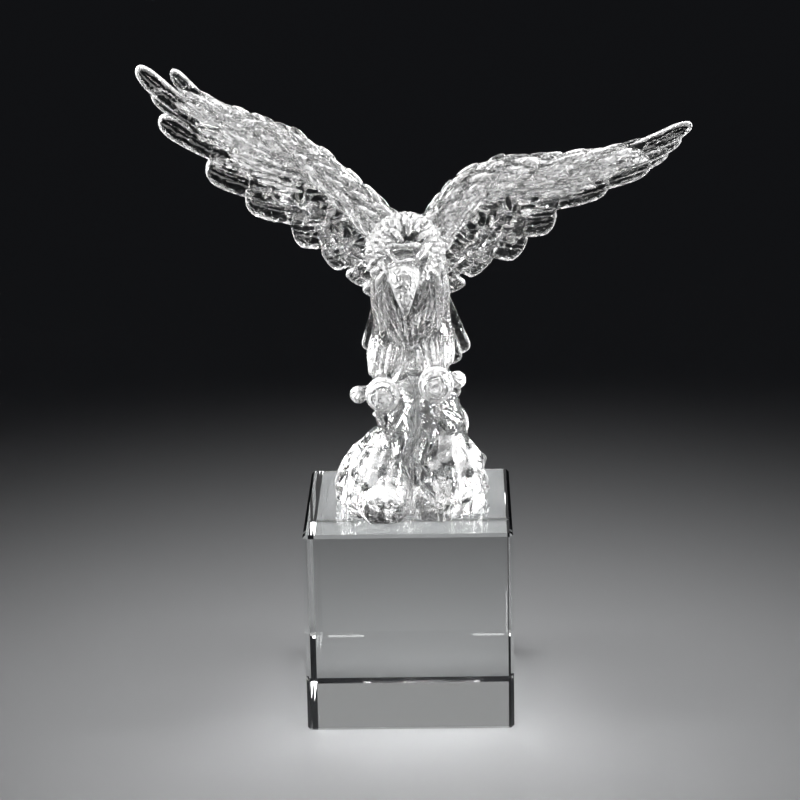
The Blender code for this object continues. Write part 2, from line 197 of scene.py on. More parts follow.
@dataclass
class FeatherMould:
    """One feather, carved once at unit size, from which every feather of its kind is pressed."""

    segments: int = 48
    rings: int = 48
    squareness: float = 5.0
    root_width: float = 0.7
    slenderness: float = 3.9
    bluntness: float = 2.25
    dish: tuple[float, float] = (0.74, 0.92)
    dish_depth: float = 0.5
    shaft_width: float = 0.05
    shaft_rise: float = 0.35
    barb_scale: float = 0.15
    barb_depth: float = 0.1
    barb_reach: float = 0.4
    rim_frost: float = 0.0
    rim_band: tuple[float, float] = (0.8, 0.87)
    rim_fade: tuple[float, float] = (0.15, 0.275)
    blank: bpy.types.Object | None = None

    def carve(self) -> None:
        """Carves the blank, a blade along x with a rim, a raised shaft and slanting barbs."""
        bpy.ops.mesh.primitive_uv_sphere_add(
            segments=self.segments, ring_count=self.rings, radius=0.5, rotation=(0, math.pi / 2, 0)
        )
        self.blank = bpy.context.object
        self.blank.name = "feather_blank"
        bpy.ops.object.transform_apply(location=False, rotation=True, scale=False)
        self._round_ends()
        self._hollow_faces()
        if self.barb_depth:
            self._score_barbs()
        self._narrow_root()

    def _end_reach(self, x: float) -> float:
        """How far a place along the blade is into its round end, from 0 to 1."""
        return max(1 - (1 - abs(x)) * self.slenderness, 0.0)

    def _round_ends(self) -> None:
        """Makes the ball a flat blade with straight sides, square shoulders and round ends."""
        for vertex in self.blank.data.vertices:
            x, y, z = 2 * vertex.co
            girth = max(math.hypot(y, z), TINY)
            breadth = max(1 - self._end_reach(x) ** self.bluntness, 0.0) ** (1 / self.bluntness)
            corner = squared(y / girth, z / girth, self.squareness)
            vertex.co.y = y / girth * corner * breadth / 2
            vertex.co.z = z / girth * corner * math.sqrt(breadth) / 2

    def _hollow_faces(self) -> None:
        """Hollows both faces inside the rim, and leaves the shaft standing in the middle."""
        edge = self.blank.data.attributes.new("rim", "FLOAT", "POINT")
        for vertex in self.blank.data.vertices:
            x = self._end_reach(2 * vertex.co.x)
            y = abs(2 * vertex.co.y)
            edgeward = (x**self.bluntness + y**self.bluntness) ** (1 / self.bluntness)
            rim = ramp(edgeward, *self.dish)
            shaft = math.exp(-((y / 2 / self.shaft_width) ** 2)) * (1 - rim)
            vertex.co.z *= self.dish_depth + (1 - self.dish_depth) * rim + self.shaft_rise * shaft
            frost = self.rim_frost * ramp(edgeward, *self.rim_band)
            edge.data[vertex.index].value = frost * ramp(vertex.co.x, *self.rim_fade)

    def _score_barbs(self) -> None:
        """Scores grooves that slant from the shaft towards both edges, and leaves the rim whole."""
        grooves = bpy.data.textures.new("barbs", "WOOD")
        grooves.wood_type = "BANDS"
        grooves.noise_basis_2 = "SIN"
        for side in Side:
            half = self.blank.vertex_groups.new(name=side.name)
            half.add(
                [
                    vertex.index
                    for vertex in self.blank.data.vertices
                    if self.shaft_width < vertex.co.y * side.value < self.dish[1] / 2
                    and abs(vertex.co.x) < self.barb_reach
                ],
                1.0,
                "REPLACE",
            )
            bpy.ops.object.empty_add()
            guide = bpy.context.object
            guide.scale = (self.barb_scale, -side.value * self.barb_scale, self.barb_scale)
            choose(self.blank)
            bpy.ops.object.modifier_add(type="DISPLACE")
            groove = self.blank.modifiers[-1]
            groove.texture = grooves
            groove.texture_coords = "OBJECT"
            groove.texture_coords_object = guide
            groove.vertex_group = half.name
            groove.strength = self.barb_depth
            groove.mid_level = 0.5
            bpy.ops.object.modifier_apply(modifier=groove.name)
            bpy.data.objects.remove(guide)
        bpy.data.textures.remove(grooves)
        self.blank.vertex_groups.clear()

    def _narrow_root(self) -> None:
        """Narrows the blade towards its root, at -x."""
        for vertex in self.blank.data.vertices:
            share = vertex.co.x + 0.5
            vertex.co.y *= self.root_width + (1 - self.root_width) * share

    def press(
        self,
        root: Vector,
        tip: Vector,
        half_width: float,
        half_thickness: float,
        facing: Vector,
        bow: float = 0.0,
        sweep: float = 0.0,
        tilt: float = 0.0,
    ) -> bpy.types.Object:
        """Presses one feather, bends it and sets it in its place.

        Args:
            root: Where it grows from.
            tip: Its end.
            half_width: Half its breadth.
            half_thickness: Half its thickness.
            facing: The way that its outer face looks.
            bow: How far its middle stands out towards facing.
            sweep: The angle by which it is bent sideways in its own plane.
            tilt: The angle by which it is rolled about its length.

        Returns:
            The feather, as an object of its own.
        """
        length = (tip - root).length
        mesh = self.blank.data.copy()
        mesh.transform(Matrix.Diagonal((length, 2 * half_width, 2 * half_thickness, 1)))
        places = np.empty(len(mesh.vertices) * 3, np.float32)
        mesh.vertices.foreach_get("co", places)
        places = places.reshape(-1, 3)
        hump = 1 - (2 * places[:, 0] / length) ** 2
        places[:, 1] -= hump * length * math.tan(sweep) / 2
        places[:, 2] += hump * bow
        mesh.vertices.foreach_set("co", places.ravel())
        feather = bpy.data.objects.new("feather", mesh)
        bpy.context.scene.collection.objects.link(feather)
        feather.matrix_world = facing_frame(root, tip, facing) @ Matrix.Rotation(tilt, 4, "X")
        return feather


@dataclass
class WaxPattern:
    """The separate forms of the figure, in wax, and how they melt into one skin for the mould."""

    voxel: float = 0.5 * MM
    weld_distance: float = 0.002 * MM
    softening: float = 0.5
    ball_cuts: tuple[int, int] = (40, 28)
    limb_cuts: tuple[int, int] = (6, 10)
    most_triangles: int = 190_000
    seed: int = 7
    forms: list[tuple[bpy.types.Object, Surface]] = field(default_factory=list)

    def add(self, form: bpy.types.Object, surface: Surface) -> None:
        """Adds a closed mesh or a bevelled curve, whose surface is textured in the given way."""
        self.forms.append((form, surface))

    def ball(self, centre: Point, radii: Point, surface: Surface, turn: Point = (0, 0, 0)) -> None:
        """Adds an ellipsoid.

        Args:
            centre: x, y and height in millimetres.
            radii: Its half sizes in millimetres.
            surface: How its surface is textured.
            turn: Its rotation about x, y and z.
        """
        bpy.ops.mesh.primitive_uv_sphere_add(
            segments=self.ball_cuts[0],
            ring_count=self.ball_cuts[1],
            radius=1,
            location=on_figure(*centre),
            rotation=turn,
            scale=[r * MM for r in radii],
        )
        bpy.ops.object.transform_apply(location=False, rotation=False, scale=True)
        self.add(bpy.context.object, surface)

    def limb(self, stations: Sequence[Station], surface: Surface, depth: float = 1.0) -> None:
        """Adds a rounded limb through stations.

        Args:
            stations: x, y, height and radius of each, in millimetres.
            surface: How its surface is textured.
            depth: Its size front to back as a share of its height.
        """
        points = [on_figure(x, y, height) for x, y, height, _ in stations]
        placed = facing_frame(points[0], points[-1], LIMB_FACE)
        inwards = placed.inverted()
        bpy.ops.curve.primitive_bezier_curve_add()
        limb = bpy.context.object
        limb.matrix_world = placed @ Matrix.Diagonal((1, 1, depth, 1))
        curve = limb.data
        curve.bevel_depth = MM
        curve.bevel_resolution, curve.resolution_u = self.limb_cuts
        curve.use_fill_caps = True
        spline = curve.splines[0]
        spline.bezier_points.add(len(stations) - 2)
        for bead, point, station in zip(spline.bezier_points, points, stations):
            local = inwards @ point
            bead.co = (local.x, local.y, local.z / depth)
            bead.radius = station[3]
            bead.handle_left_type = "AUTO"
            bead.handle_right_type = "AUTO"
        self.add(limb, surface)

    def _paint(self) -> None:
        """Writes each form's texture and its own coordinates on its vertices."""
        offsets = np.random.default_rng(self.seed).random((len(self.forms), 3))
        for (form, surface), offset in zip(self.forms, offsets):
            count = len(form.data.vertices)
            places = np.empty(count * 3, np.float32)
            form.data.vertices.foreach_get("co", places)
            flow = form.data.attributes.new("flow", "FLOAT_VECTOR", "POINT")
            moved = (places.reshape(-1, 3) + offset).astype(np.float32)
            flow.data.foreach_set("vector", moved.ravel())
            level = np.full(count, surface.value, np.float32)
            edge = form.data.attributes.get("rim")
            if edge:
                rim = np.empty(count, np.float32)
                edge.data.foreach_get("value", rim)
                level = np.where(rim > 0, np.maximum(level, rim), level)
                form.data.attributes.remove(edge)
            frost = form.data.attributes.new("frost", "FLOAT", "POINT")
            frost.data.foreach_set("value", level)

    def melt(self, name: str) -> bpy.types.Object:
        """Joins the forms into one closed skin.

        Args:
            name: What the skin is called.

        Returns:
            The skin, at the origin, cut flat at the foot.
        """
        pieces = [form for form, _ in self.forms]
        choose(*pieces)
        bpy.ops.object.convert(target="MESH")
        self._paint()
        bpy.ops.object.join()
        skin = bpy.context.object
        skin.name = name
        skin.data.name = name
        bpy.ops.object.transform_apply(location=True, rotation=True, scale=True)
        self._weld()
        skin.data.remesh_voxel_size = self.voxel
        skin.data.use_remesh_preserve_attributes = True
        bpy.ops.object.voxel_remesh()
        self._soften(skin)
        self._cut_foot()
        self._thin(skin)
        bpy.ops.object.shade_smooth()
        return skin

    def _weld(self) -> None:
        """Closes the caps of the limbs."""
        bpy.ops.object.mode_set(mode="EDIT")
        bpy.ops.mesh.select_all(action="SELECT")
        bpy.ops.mesh.remove_doubles(threshold=self.weld_distance)
        bpy.ops.mesh.normals_make_consistent(inside=False)
        bpy.ops.object.mode_set(mode="OBJECT")

    def _soften(self, skin: bpy.types.Object) -> None:
        """Rounds the steps that the voxels leave.

        Args:
            skin: The skin.
        """
        bpy.ops.object.modifier_add(type="SMOOTH")
        soft = skin.modifiers[-1]
        soft.factor = self.softening
        bpy.ops.object.modifier_apply(modifier=soft.name)

    def _cut_foot(self) -> None:
        """Cuts the skin flat where it is bonded to the cube."""
        bpy.ops.object.mode_set(mode="EDIT")
        bpy.ops.mesh.select_all(action="SELECT")
        bpy.ops.mesh.bisect(
            plane_co=(0, 0, FIGURE_FOOT), plane_no=(0, 0, 1), use_fill=True, clear_inner=True
        )
        bpy.ops.object.mode_set(mode="OBJECT")

    def _thin(self, skin: bpy.types.Object) -> None:
        """Brings the skin under its number of triangles, where it curves least.

        Args:
            skin: The skin.
        """
        bpy.ops.object.modifier_add(type="TRIANGULATE")
        bpy.ops.object.modifier_apply(modifier=skin.modifiers[-1].name)
        triangles = len(skin.data.polygons)
        bpy.ops.object.modifier_add(type="DECIMATE")
        thin = skin.modifiers[-1]
        thin.ratio = min(1.0, self.most_triangles / triangles)
        bpy.ops.object.modifier_apply(modifier=thin.name)
        self._drop_bubbles(skin)
        LOG.info("the skin had %d triangles and has %d", triangles, len(skin.data.polygons))

    def _drop_bubbles(self, skin: bpy.types.Object) -> None:
        """Deletes what isn't joined to the highest point, such as a closed bubble.

        Args:
            skin: The skin.
        """
        bpy.ops.object.mode_set(mode="EDIT")
        bpy.ops.mesh.select_mode(type="VERT")
        bpy.ops.mesh.select_all(action="DESELECT")
        bpy.ops.object.mode_set(mode="OBJECT")
        max(skin.data.vertices, key=lambda point: point.co.z).select = True
        bpy.ops.object.mode_set(mode="EDIT")
        bpy.ops.mesh.select_linked()
        bpy.ops.mesh.select_all(action="INVERT")
        bpy.ops.mesh.delete(type="VERT")
        bpy.ops.object.mode_set(mode="OBJECT")


@dataclass
class Wing:
    """One raised wing: its arm under slender feathers, its flight feathers and its coverts."""

    side: Side
    arm: Sequence[Station]
    quills: Sequence[Quill]
    arm_depth: float = 0.62
    arm_inset: float = 1.2
    root_lead: float = 0.55
    root_drop: float = 0.35
    quill_half_thickness: float = 1.7
    quill_bow: float = 2.5
    quill_tilt: float = math.radians(9)
    quill_bend: float = 0.55
    quill_slimming: float = 0.92
    # Start and end along a flight feather, share of its width, half thickness, number to each.
    covert_rows: tuple[tuple[float, float, float, float, float], ...] = (
        (0.34, 0.80, 0.88, 1.6, 1.0),
        (0.06, 0.58, 0.84, 1.7, 1.5),
    )
    locks: int = 260
    lock_span: float = 0.95
    lock_lengths: tuple[float, float] = (7.0, 14.0)
    lock_wave: float = math.radians(14)
    lock_half_width: float = 1.05
    lock_half_thickness: float = 1.1
    lock_bow: float = 0.4
    lock_lift: float = 1.3
    lock_outward: float = 1.1
    lock_fan: float = 0.3
    lock_stray: float = 0.3
    clear_lock: int = 3
    streaks: int = 40
    streaked_quills: float = 4.0
    streak_starts: tuple[float, float] = (0.2, 0.4)
    streak_reach: float = 0.2
    streak_spread: float = 0.75
    streak_lift: float = 0.4
    streak_bow: float = 0.3
    streak_size: float = 0.8
    bow_share: float = 0.6
    ridge_level: float = -0.8
    ridge_shares: tuple[float, ...] = (0.02, 0.2, 0.4, 0.6, 0.78)
    ridge_radius: float = 1.1

    def model(
        self, wax: WaxPattern, feather: FeatherMould, covert: FeatherMould, lock: FeatherMould
    ) -> None:
        """Adds the wing's forms.

        Args:
            wax: The pattern they are added to.
            feather: What the flight feathers are pressed from.
            covert: What the short broad feathers over them are pressed from.
            lock: What the slender ones are pressed from.
        """
        slimmer = [(x, y, height, radius - self.arm_inset) for x, y, height, radius in self.arm]
        wax.limb(slimmer, Surface.CLEAR, self.arm_depth)
        for quill in self.quills:
            blade = self._blade(
                feather, quill, 0.0, 1.0, self.quill_slimming, self.quill_half_thickness
            )
            wax.add(blade, Surface.CLEAR)
        for *shape, density in self.covert_rows:
            for i in range(round((len(self.quills) - 1) * density)):
                quill = self._between((i + 0.5) / density)
                wax.add(self._blade(covert, quill, *shape), Surface.CLEAR)
        self._lay_locks(wax, lock)
        self._streak_quills(wax, lock)
        self._ridge(wax)
        side = self.side.name.lower()
        LOG.info("%s wing: %d flight feathers, %d slender ones", side, len(self.quills), self.locks)

    def _between(self, place: float) -> list[float]:
        """Finds a quill between two of those that are listed.

        Args:
            place: Its number, with the part of the way to the next one.

        Returns:
            Its row, in the order of the listed ones.
        """
        first = min(int(place), len(self.quills) - 2)
        part = place - first
        return [a + (b - a) * part for a, b in zip(self.quills[first], self.quills[first + 1])]

    def _on_arm(self, share: float, level: float, face: float) -> Vector:
        """A point on the arm's skin.

        Args:
            share: The place along the arm, which may go on past its end.
            level: The height on the arm, from -1 at its lower edge to 1 at its upper one.
            face: -1 on the front, 1 on the back.

        Returns:
            The point.
        """
        here, radius = along(self.arm, share)
        last, _ = along(self.arm, 1.0)
        before, _ = along(self.arm, min(share, 1.0) - 0.1)
        ahead = ((last if share > 1 else here) - before).normalized()
        up = FORWARDS.cross(ahead).normalized() * self.side.value
        if share > 1:
            here = last + ahead * (share - 1) * (last - along(self.arm, 0)[0]).length
        radius -= self.arm_inset * MM
        depth = math.sqrt(max(0.0, 1 - level**2)) * self.arm_depth
        return here + up * radius * level - FORWARDS * face * radius * depth

    def _quill_root(self, share: float) -> Vector:
        """Finds where a flight feather grows from, low in the middle of the arm.

        Args:
            share: Its place along the arm.

        Returns:
            The point.
        """
        root = self._on_arm(share * self.root_lead, -self.root_drop, 0.0)
        root.y = along(self.arm, share * self.root_lead)[0].y
        return root

    def _blade(
        self,
        mould: FeatherMould,
        quill: Sequence[float],
        start: float,
        reach: float,
        narrower: float,
        half_thickness: float,
    ) -> bpy.types.Object:
        """Presses a flight feather or a covert that lies over one.

        Args:
            mould: What it is pressed from.
            quill: Its place on the arm, tip, half width and sweep in degrees.
            start: Where it begins, as a share of the flight feather's length.
            reach: Where it ends.
            narrower: Its width as a share of the flight feather's.
            half_thickness: Half its thickness in millimetres.

        Returns:
            The feather.
        """
        share, x, y, height, half_width, degrees = quill
        root = self._quill_root(share)
        end = on_figure(x, y, height)
        return mould.press(
            root.lerp(end, start),
            root.lerp(end, reach),
            half_width * narrower * MM,
            half_thickness * MM,
            FORWARDS,
            self.quill_bow * MM,
            self.side.value * math.radians(degrees) * self.quill_bend * (reach - start),
            self.side.value * self.quill_tilt,
        )

    def _lay_locks(self, wax: WaxPattern, mould: FeatherMould) -> None:
        """Thatches the arm with slender feathers that run along it and fan down to the coverts.

        Args:
            wax: The pattern they are added to.
            mould: What they are pressed from.
        """
        span = (along(self.arm, 1.0)[0] - along(self.arm, 0.0)[0]).length / MM
        shortest, longest = self.lock_lengths
        for i in range(self.locks):
            share = i / self.locks * self.lock_span
            level = 2 * scattered(i) - 1
            length = shortest + (longest - shortest) * scattered(i, 2)
            face = -1 if i % 2 else 1
            root = self._on_arm(share, level, face)
            stray = self.lock_stray * math.sin(i * GOLDEN_ANGLE)
            aim = min(max(level - self.lock_fan * (1 - level) / 2 + stray, -1.0), 1.0)
            tip = self._on_arm(share + length / span, aim, face)
            outward = Vector((0, face * (self.lock_outward - abs(level)), level)).normalized()
            wax.add(
                mould.press(
                    root,
                    tip + outward * self.lock_lift * MM,
                    self.lock_half_width * MM,
                    self.lock_half_thickness * MM,
                    outward,
                    self.lock_bow * MM,
                    self.lock_wave * math.sin(WAVE_STEP * i),
                ),
                Surface.CLEAR if i % self.clear_lock == 0 else Surface.FROSTED,
            )

    def _streak_quills(self, wax: WaxPattern, mould: FeatherMould) -> None:
        """Lays slender feathers over the upper part of the outer flight feathers.

        Args:
            wax: The pattern they are added to.
            mould: What they are pressed from.
        """
        first, span = self.streak_starts
        height = self.quill_half_thickness + self.streak_lift + self.quill_bow * self.bow_share
        for i in range(self.streaks):
            share, x, y, level, half_width, _ = self._between(
                self.streaked_quills * (i / self.streaks)
            )
            root = self._quill_root(share)
            end = on_figure(x, y, level)
            start = first + span * scattered(i)
            stray = half_width * self.streak_spread * math.sin(i * GOLDEN_ANGLE)
            across = FORWARDS.cross(end - root).normalized() * stray
            lift = (across + FORWARDS * height) * MM
            wax.add(
                mould.press(
                    root.lerp(end, start) + lift,
                    root.lerp(end, start + self.streak_reach) + lift,
                    self.lock_half_width * self.streak_size * MM,
                    self.lock_half_thickness * self.streak_size * MM,
                    FORWARDS,
                    self.streak_bow * MM,
                ),
                Surface.FROSTED,
            )

    def _ridge(self, wax: WaxPattern) -> None:
        """Adds the ridge along the lower border of the arm's front, where the coverts begin.

        Args:
            wax: The pattern it is added to.
        """
        stations = []
        for share in self.ridge_shares:
            spot = self._on_arm(share, self.ridge_level, -1) / MM
            stations.append((spot.x, spot.y, spot.z - CUBE_TOP / MM, self.ridge_radius))
        wax.limb(stations, Surface.FROSTED)


@dataclass
class Head:
    """The head, bowed and tipped forwards, with its brows, eyes and hooked beak."""

    centre: Point = (1.4, -19.5, 107.5)
    radii: Point = (11.4, 10.2, 12.0)
    tip_forwards: float = math.radians(22)
    hood: tuple[Point, Point] = ((0.4, -10.5, 101.0), (14.4, 10.5, 15.2))
    beak: tuple[Station, ...] = (
        (0.4, -25.0, 99.0, 6.0),
        (0.4, -30.6, 97.6, 5.8),
        (0.6, -33.0, 91.5, 3.7),
        (0.9, -33.0, 84.3, 0.8),
    )
    cere: tuple[Station, ...] = (
        (-4.4, -29.4, 98.4, 1.5),
        (0.4, -34.6, 98.8, 1.6),
        (5.2, -29.4, 98.4, 1.5),
    )
    lower_beak: tuple[Station, ...] = (
        (0.8, -24.0, 94.0, 4.4),
        (0.8, -29.0, 91.5, 2.6),
        (0.9, -30.0, 88.0, 1.0),
    )
    forehead: tuple[Point, Point] = ((-0.4, -28.6, 107.4), (4.8, 2.6, 2.2))
    forehead_band: tuple[Station, ...] = (
        (-6.6, -27.6, 108.6, 0.8),
        (-3.4, -29.8, 110.2, 0.9),
        (0.4, -30.2, 110.0, 0.7),
        (4.2, -29.8, 110.4, 0.9),
        (7.0, -27.6, 109.2, 0.8),
    )
    muzzle: tuple[Point, Point] = ((0.3, -27.4, 102.4), (6.0, 4.2, 3.6))
    # Height on the muzzle, and which way the fold sways.
    muzzle_folds: tuple[tuple[float, float], ...] = ((0.65, 1.2), (0.1, -1.2), (-0.45, 1.2))
    # Shares of the muzzle's width and depth, share of the sway, rise and radius.
    fold_line: tuple[tuple[float, float, float, float, float], ...] = (
        (-0.8, 0.6, 1.0, 1.0, 0.6),
        (-0.3, 1.0, -0.4, 0.0, 0.75),
        (0.3, 1.0, 0.4, 0.0, 0.75),
        (0.8, 0.6, -1.0, 1.0, 0.6),
    )
    brow: tuple[Station, ...] = (
        (4.4, -29.6, 104.0, 1.1),
        (7.2, -28.6, 107.8, 1.7),
        (10.2, -24.6, 110.6, 1.8),
    )
    cheek: tuple[Station, ...] = (
        (10.2, -24.4, 102.6, 1.9),
        (7.6, -27.0, 99.0, 1.7),
        (5.6, -27.6, 95.0, 1.2),
    )
    eye: tuple[Point, float] = ((8.4, -27.8, 104.6), 1.7)
    locks: int = 300
    lock_reach: float = math.radians(150)
    lock_lean: float = math.radians(76)
    lock_length: float = math.radians(36)
    lock_stretch: tuple[float, float] = (0.8, 0.5)
    lock_half_width: float = 1.25
    lock_sink: float = 0.3
    lock_lift: float = 0.4
    lock_bow: float = 1.1
    lock_wave: float = math.radians(12)
    fibrous_lock: int = 4
    nape: float = 0.5
    face: Point = (5.8, -22.0, 110.2)

    def model(self, wax: WaxPattern, lock: FeatherMould) -> None:
        """Adds the head's forms.

        Args:
            wax: The pattern they are added to.
            lock: What the crown's feathers are pressed from.
        """
        wax.ball(self.centre, self.radii, Surface.CLEAR, (self.tip_forwards, 0, 0))
        wax.ball(*self.hood, Surface.CLEAR)
        for part in (self.beak, self.cere, self.lower_beak):
            wax.limb(part, Surface.MATT)
        wax.ball(*self.forehead, Surface.CLEAR)
        wax.limb(self.forehead_band, Surface.MATT)
        wax.ball(*self.muzzle, Surface.RIPPLED)
        self._fold_muzzle(wax)
        (x, y, height), radius = self.eye
        for centre in (x, 2 * self.centre[0] - x):
            wax.ball((centre, y, height), (radius,) * 3, Surface.CLEAR)
        for ridge, surface in ((self.brow, Surface.FIBROUS), (self.cheek, Surface.MATT)):
            wax.limb(ridge, surface)
            wax.limb(mirrored(ridge, self.centre[0]), surface)
        self._feather(wax, lock)
        LOG.info("head: %d slender feathers", self.locks)

    def _fold_muzzle(self, wax: WaxPattern) -> None:
        """Adds the folds of skin that swing across the muzzle, above the beak.

        Args:
            wax: The pattern they are added to.
        """
        (x, y, height), (width, depth, rise) = self.muzzle
        for place, sway in self.muzzle_folds:
            level = height + rise * place
            stations = [
                (x + width * across, y - depth * ahead, level + sway * part + lift, radius)
                for across, ahead, part, lift, radius in self.fold_line
            ]
            wax.limb(stations, Surface.FIBROUS)

    def _feather(self, wax: WaxPattern, mould: FeatherMould) -> None:
        """Lays small feathers from the brow back over the skull and down the neck.

        Args:
            wax: The pattern they are added to.
            mould: What they are pressed from.
        """
        pole = Matrix.Rotation(self.lock_lean, 3, "X")
        shortest, span = self.lock_stretch
        for i in range(self.locks):
            polar = self.lock_reach * math.sqrt((i + 0.5) / self.locks)
            turn = i * GOLDEN_ANGLE
            length = self.lock_length * (shortest + span * scattered(i, 2))
            start, end = (pole @ self._on_sphere(p, turn) for p in (polar, polar + length))
            root, tip = self._outermost(start), self._outermost(end)
            if self._on_face(root) or self._on_face(tip):
                continue
            front = Surface.MATT if i % self.fibrous_lock else Surface.FIBROUS
            wax.add(
                mould.press(
                    root - start * self.lock_sink * MM,
                    tip + end * self.lock_lift * MM,
                    self.lock_half_width * MM,
                    MM,
                    start,
                    self.lock_bow * MM,
                    self.lock_wave * math.sin(WAVE_STEP * i),
                ),
                Surface.CLEAR if start.y > self.nape else front,
            )

    def _outermost(self, way: Vector) -> Vector:
        """Where a line from the skull's middle leaves the skull and the hood.

        Args:
            way: The line's direction.

        Returns:
            The point.
        """
        level = Matrix.Rotation(-self.tip_forwards, 3, "X") @ way
        reach = 1 / Vector([q / r for q, r in zip(level, self.radii)]).length
        centre, radii = self.hood
        offset = Vector([(a - b) / r for a, b, r in zip(self.centre, centre, radii)])
        step = Vector([q / r for q, r in zip(way, radii)])
        slope, size = offset.dot(step), step.length_squared
        inside = slope**2 - size * (offset.length_squared - 1)
        if inside > 0:
            reach = max(reach, (math.sqrt(inside) - slope) / size)
        return on_figure(*self.centre) + way * reach * MM

    def _on_face(self, spot: Vector) -> bool:
        """Says whether a point is on the bare face, below the brow and between the cheeks.

        Args:
            spot: The point.

        Returns:
            True where no feather may lie.
        """
        breadth, front, top = self.face
        corner = on_figure(0.0, front, top)
        return spot.y < corner.y and spot.z < corner.z and abs(spot.x - corner.x) < breadth * MM

    @staticmethod
    def _on_sphere(polar: float, turn: float) -> Vector:
        """A point of the unit sphere, from its angle to +z and its turn about it."""
        girth = math.sin(polar)
        return Vector((girth * math.sin(turn), -girth * math.cos(turn), math.cos(polar)))


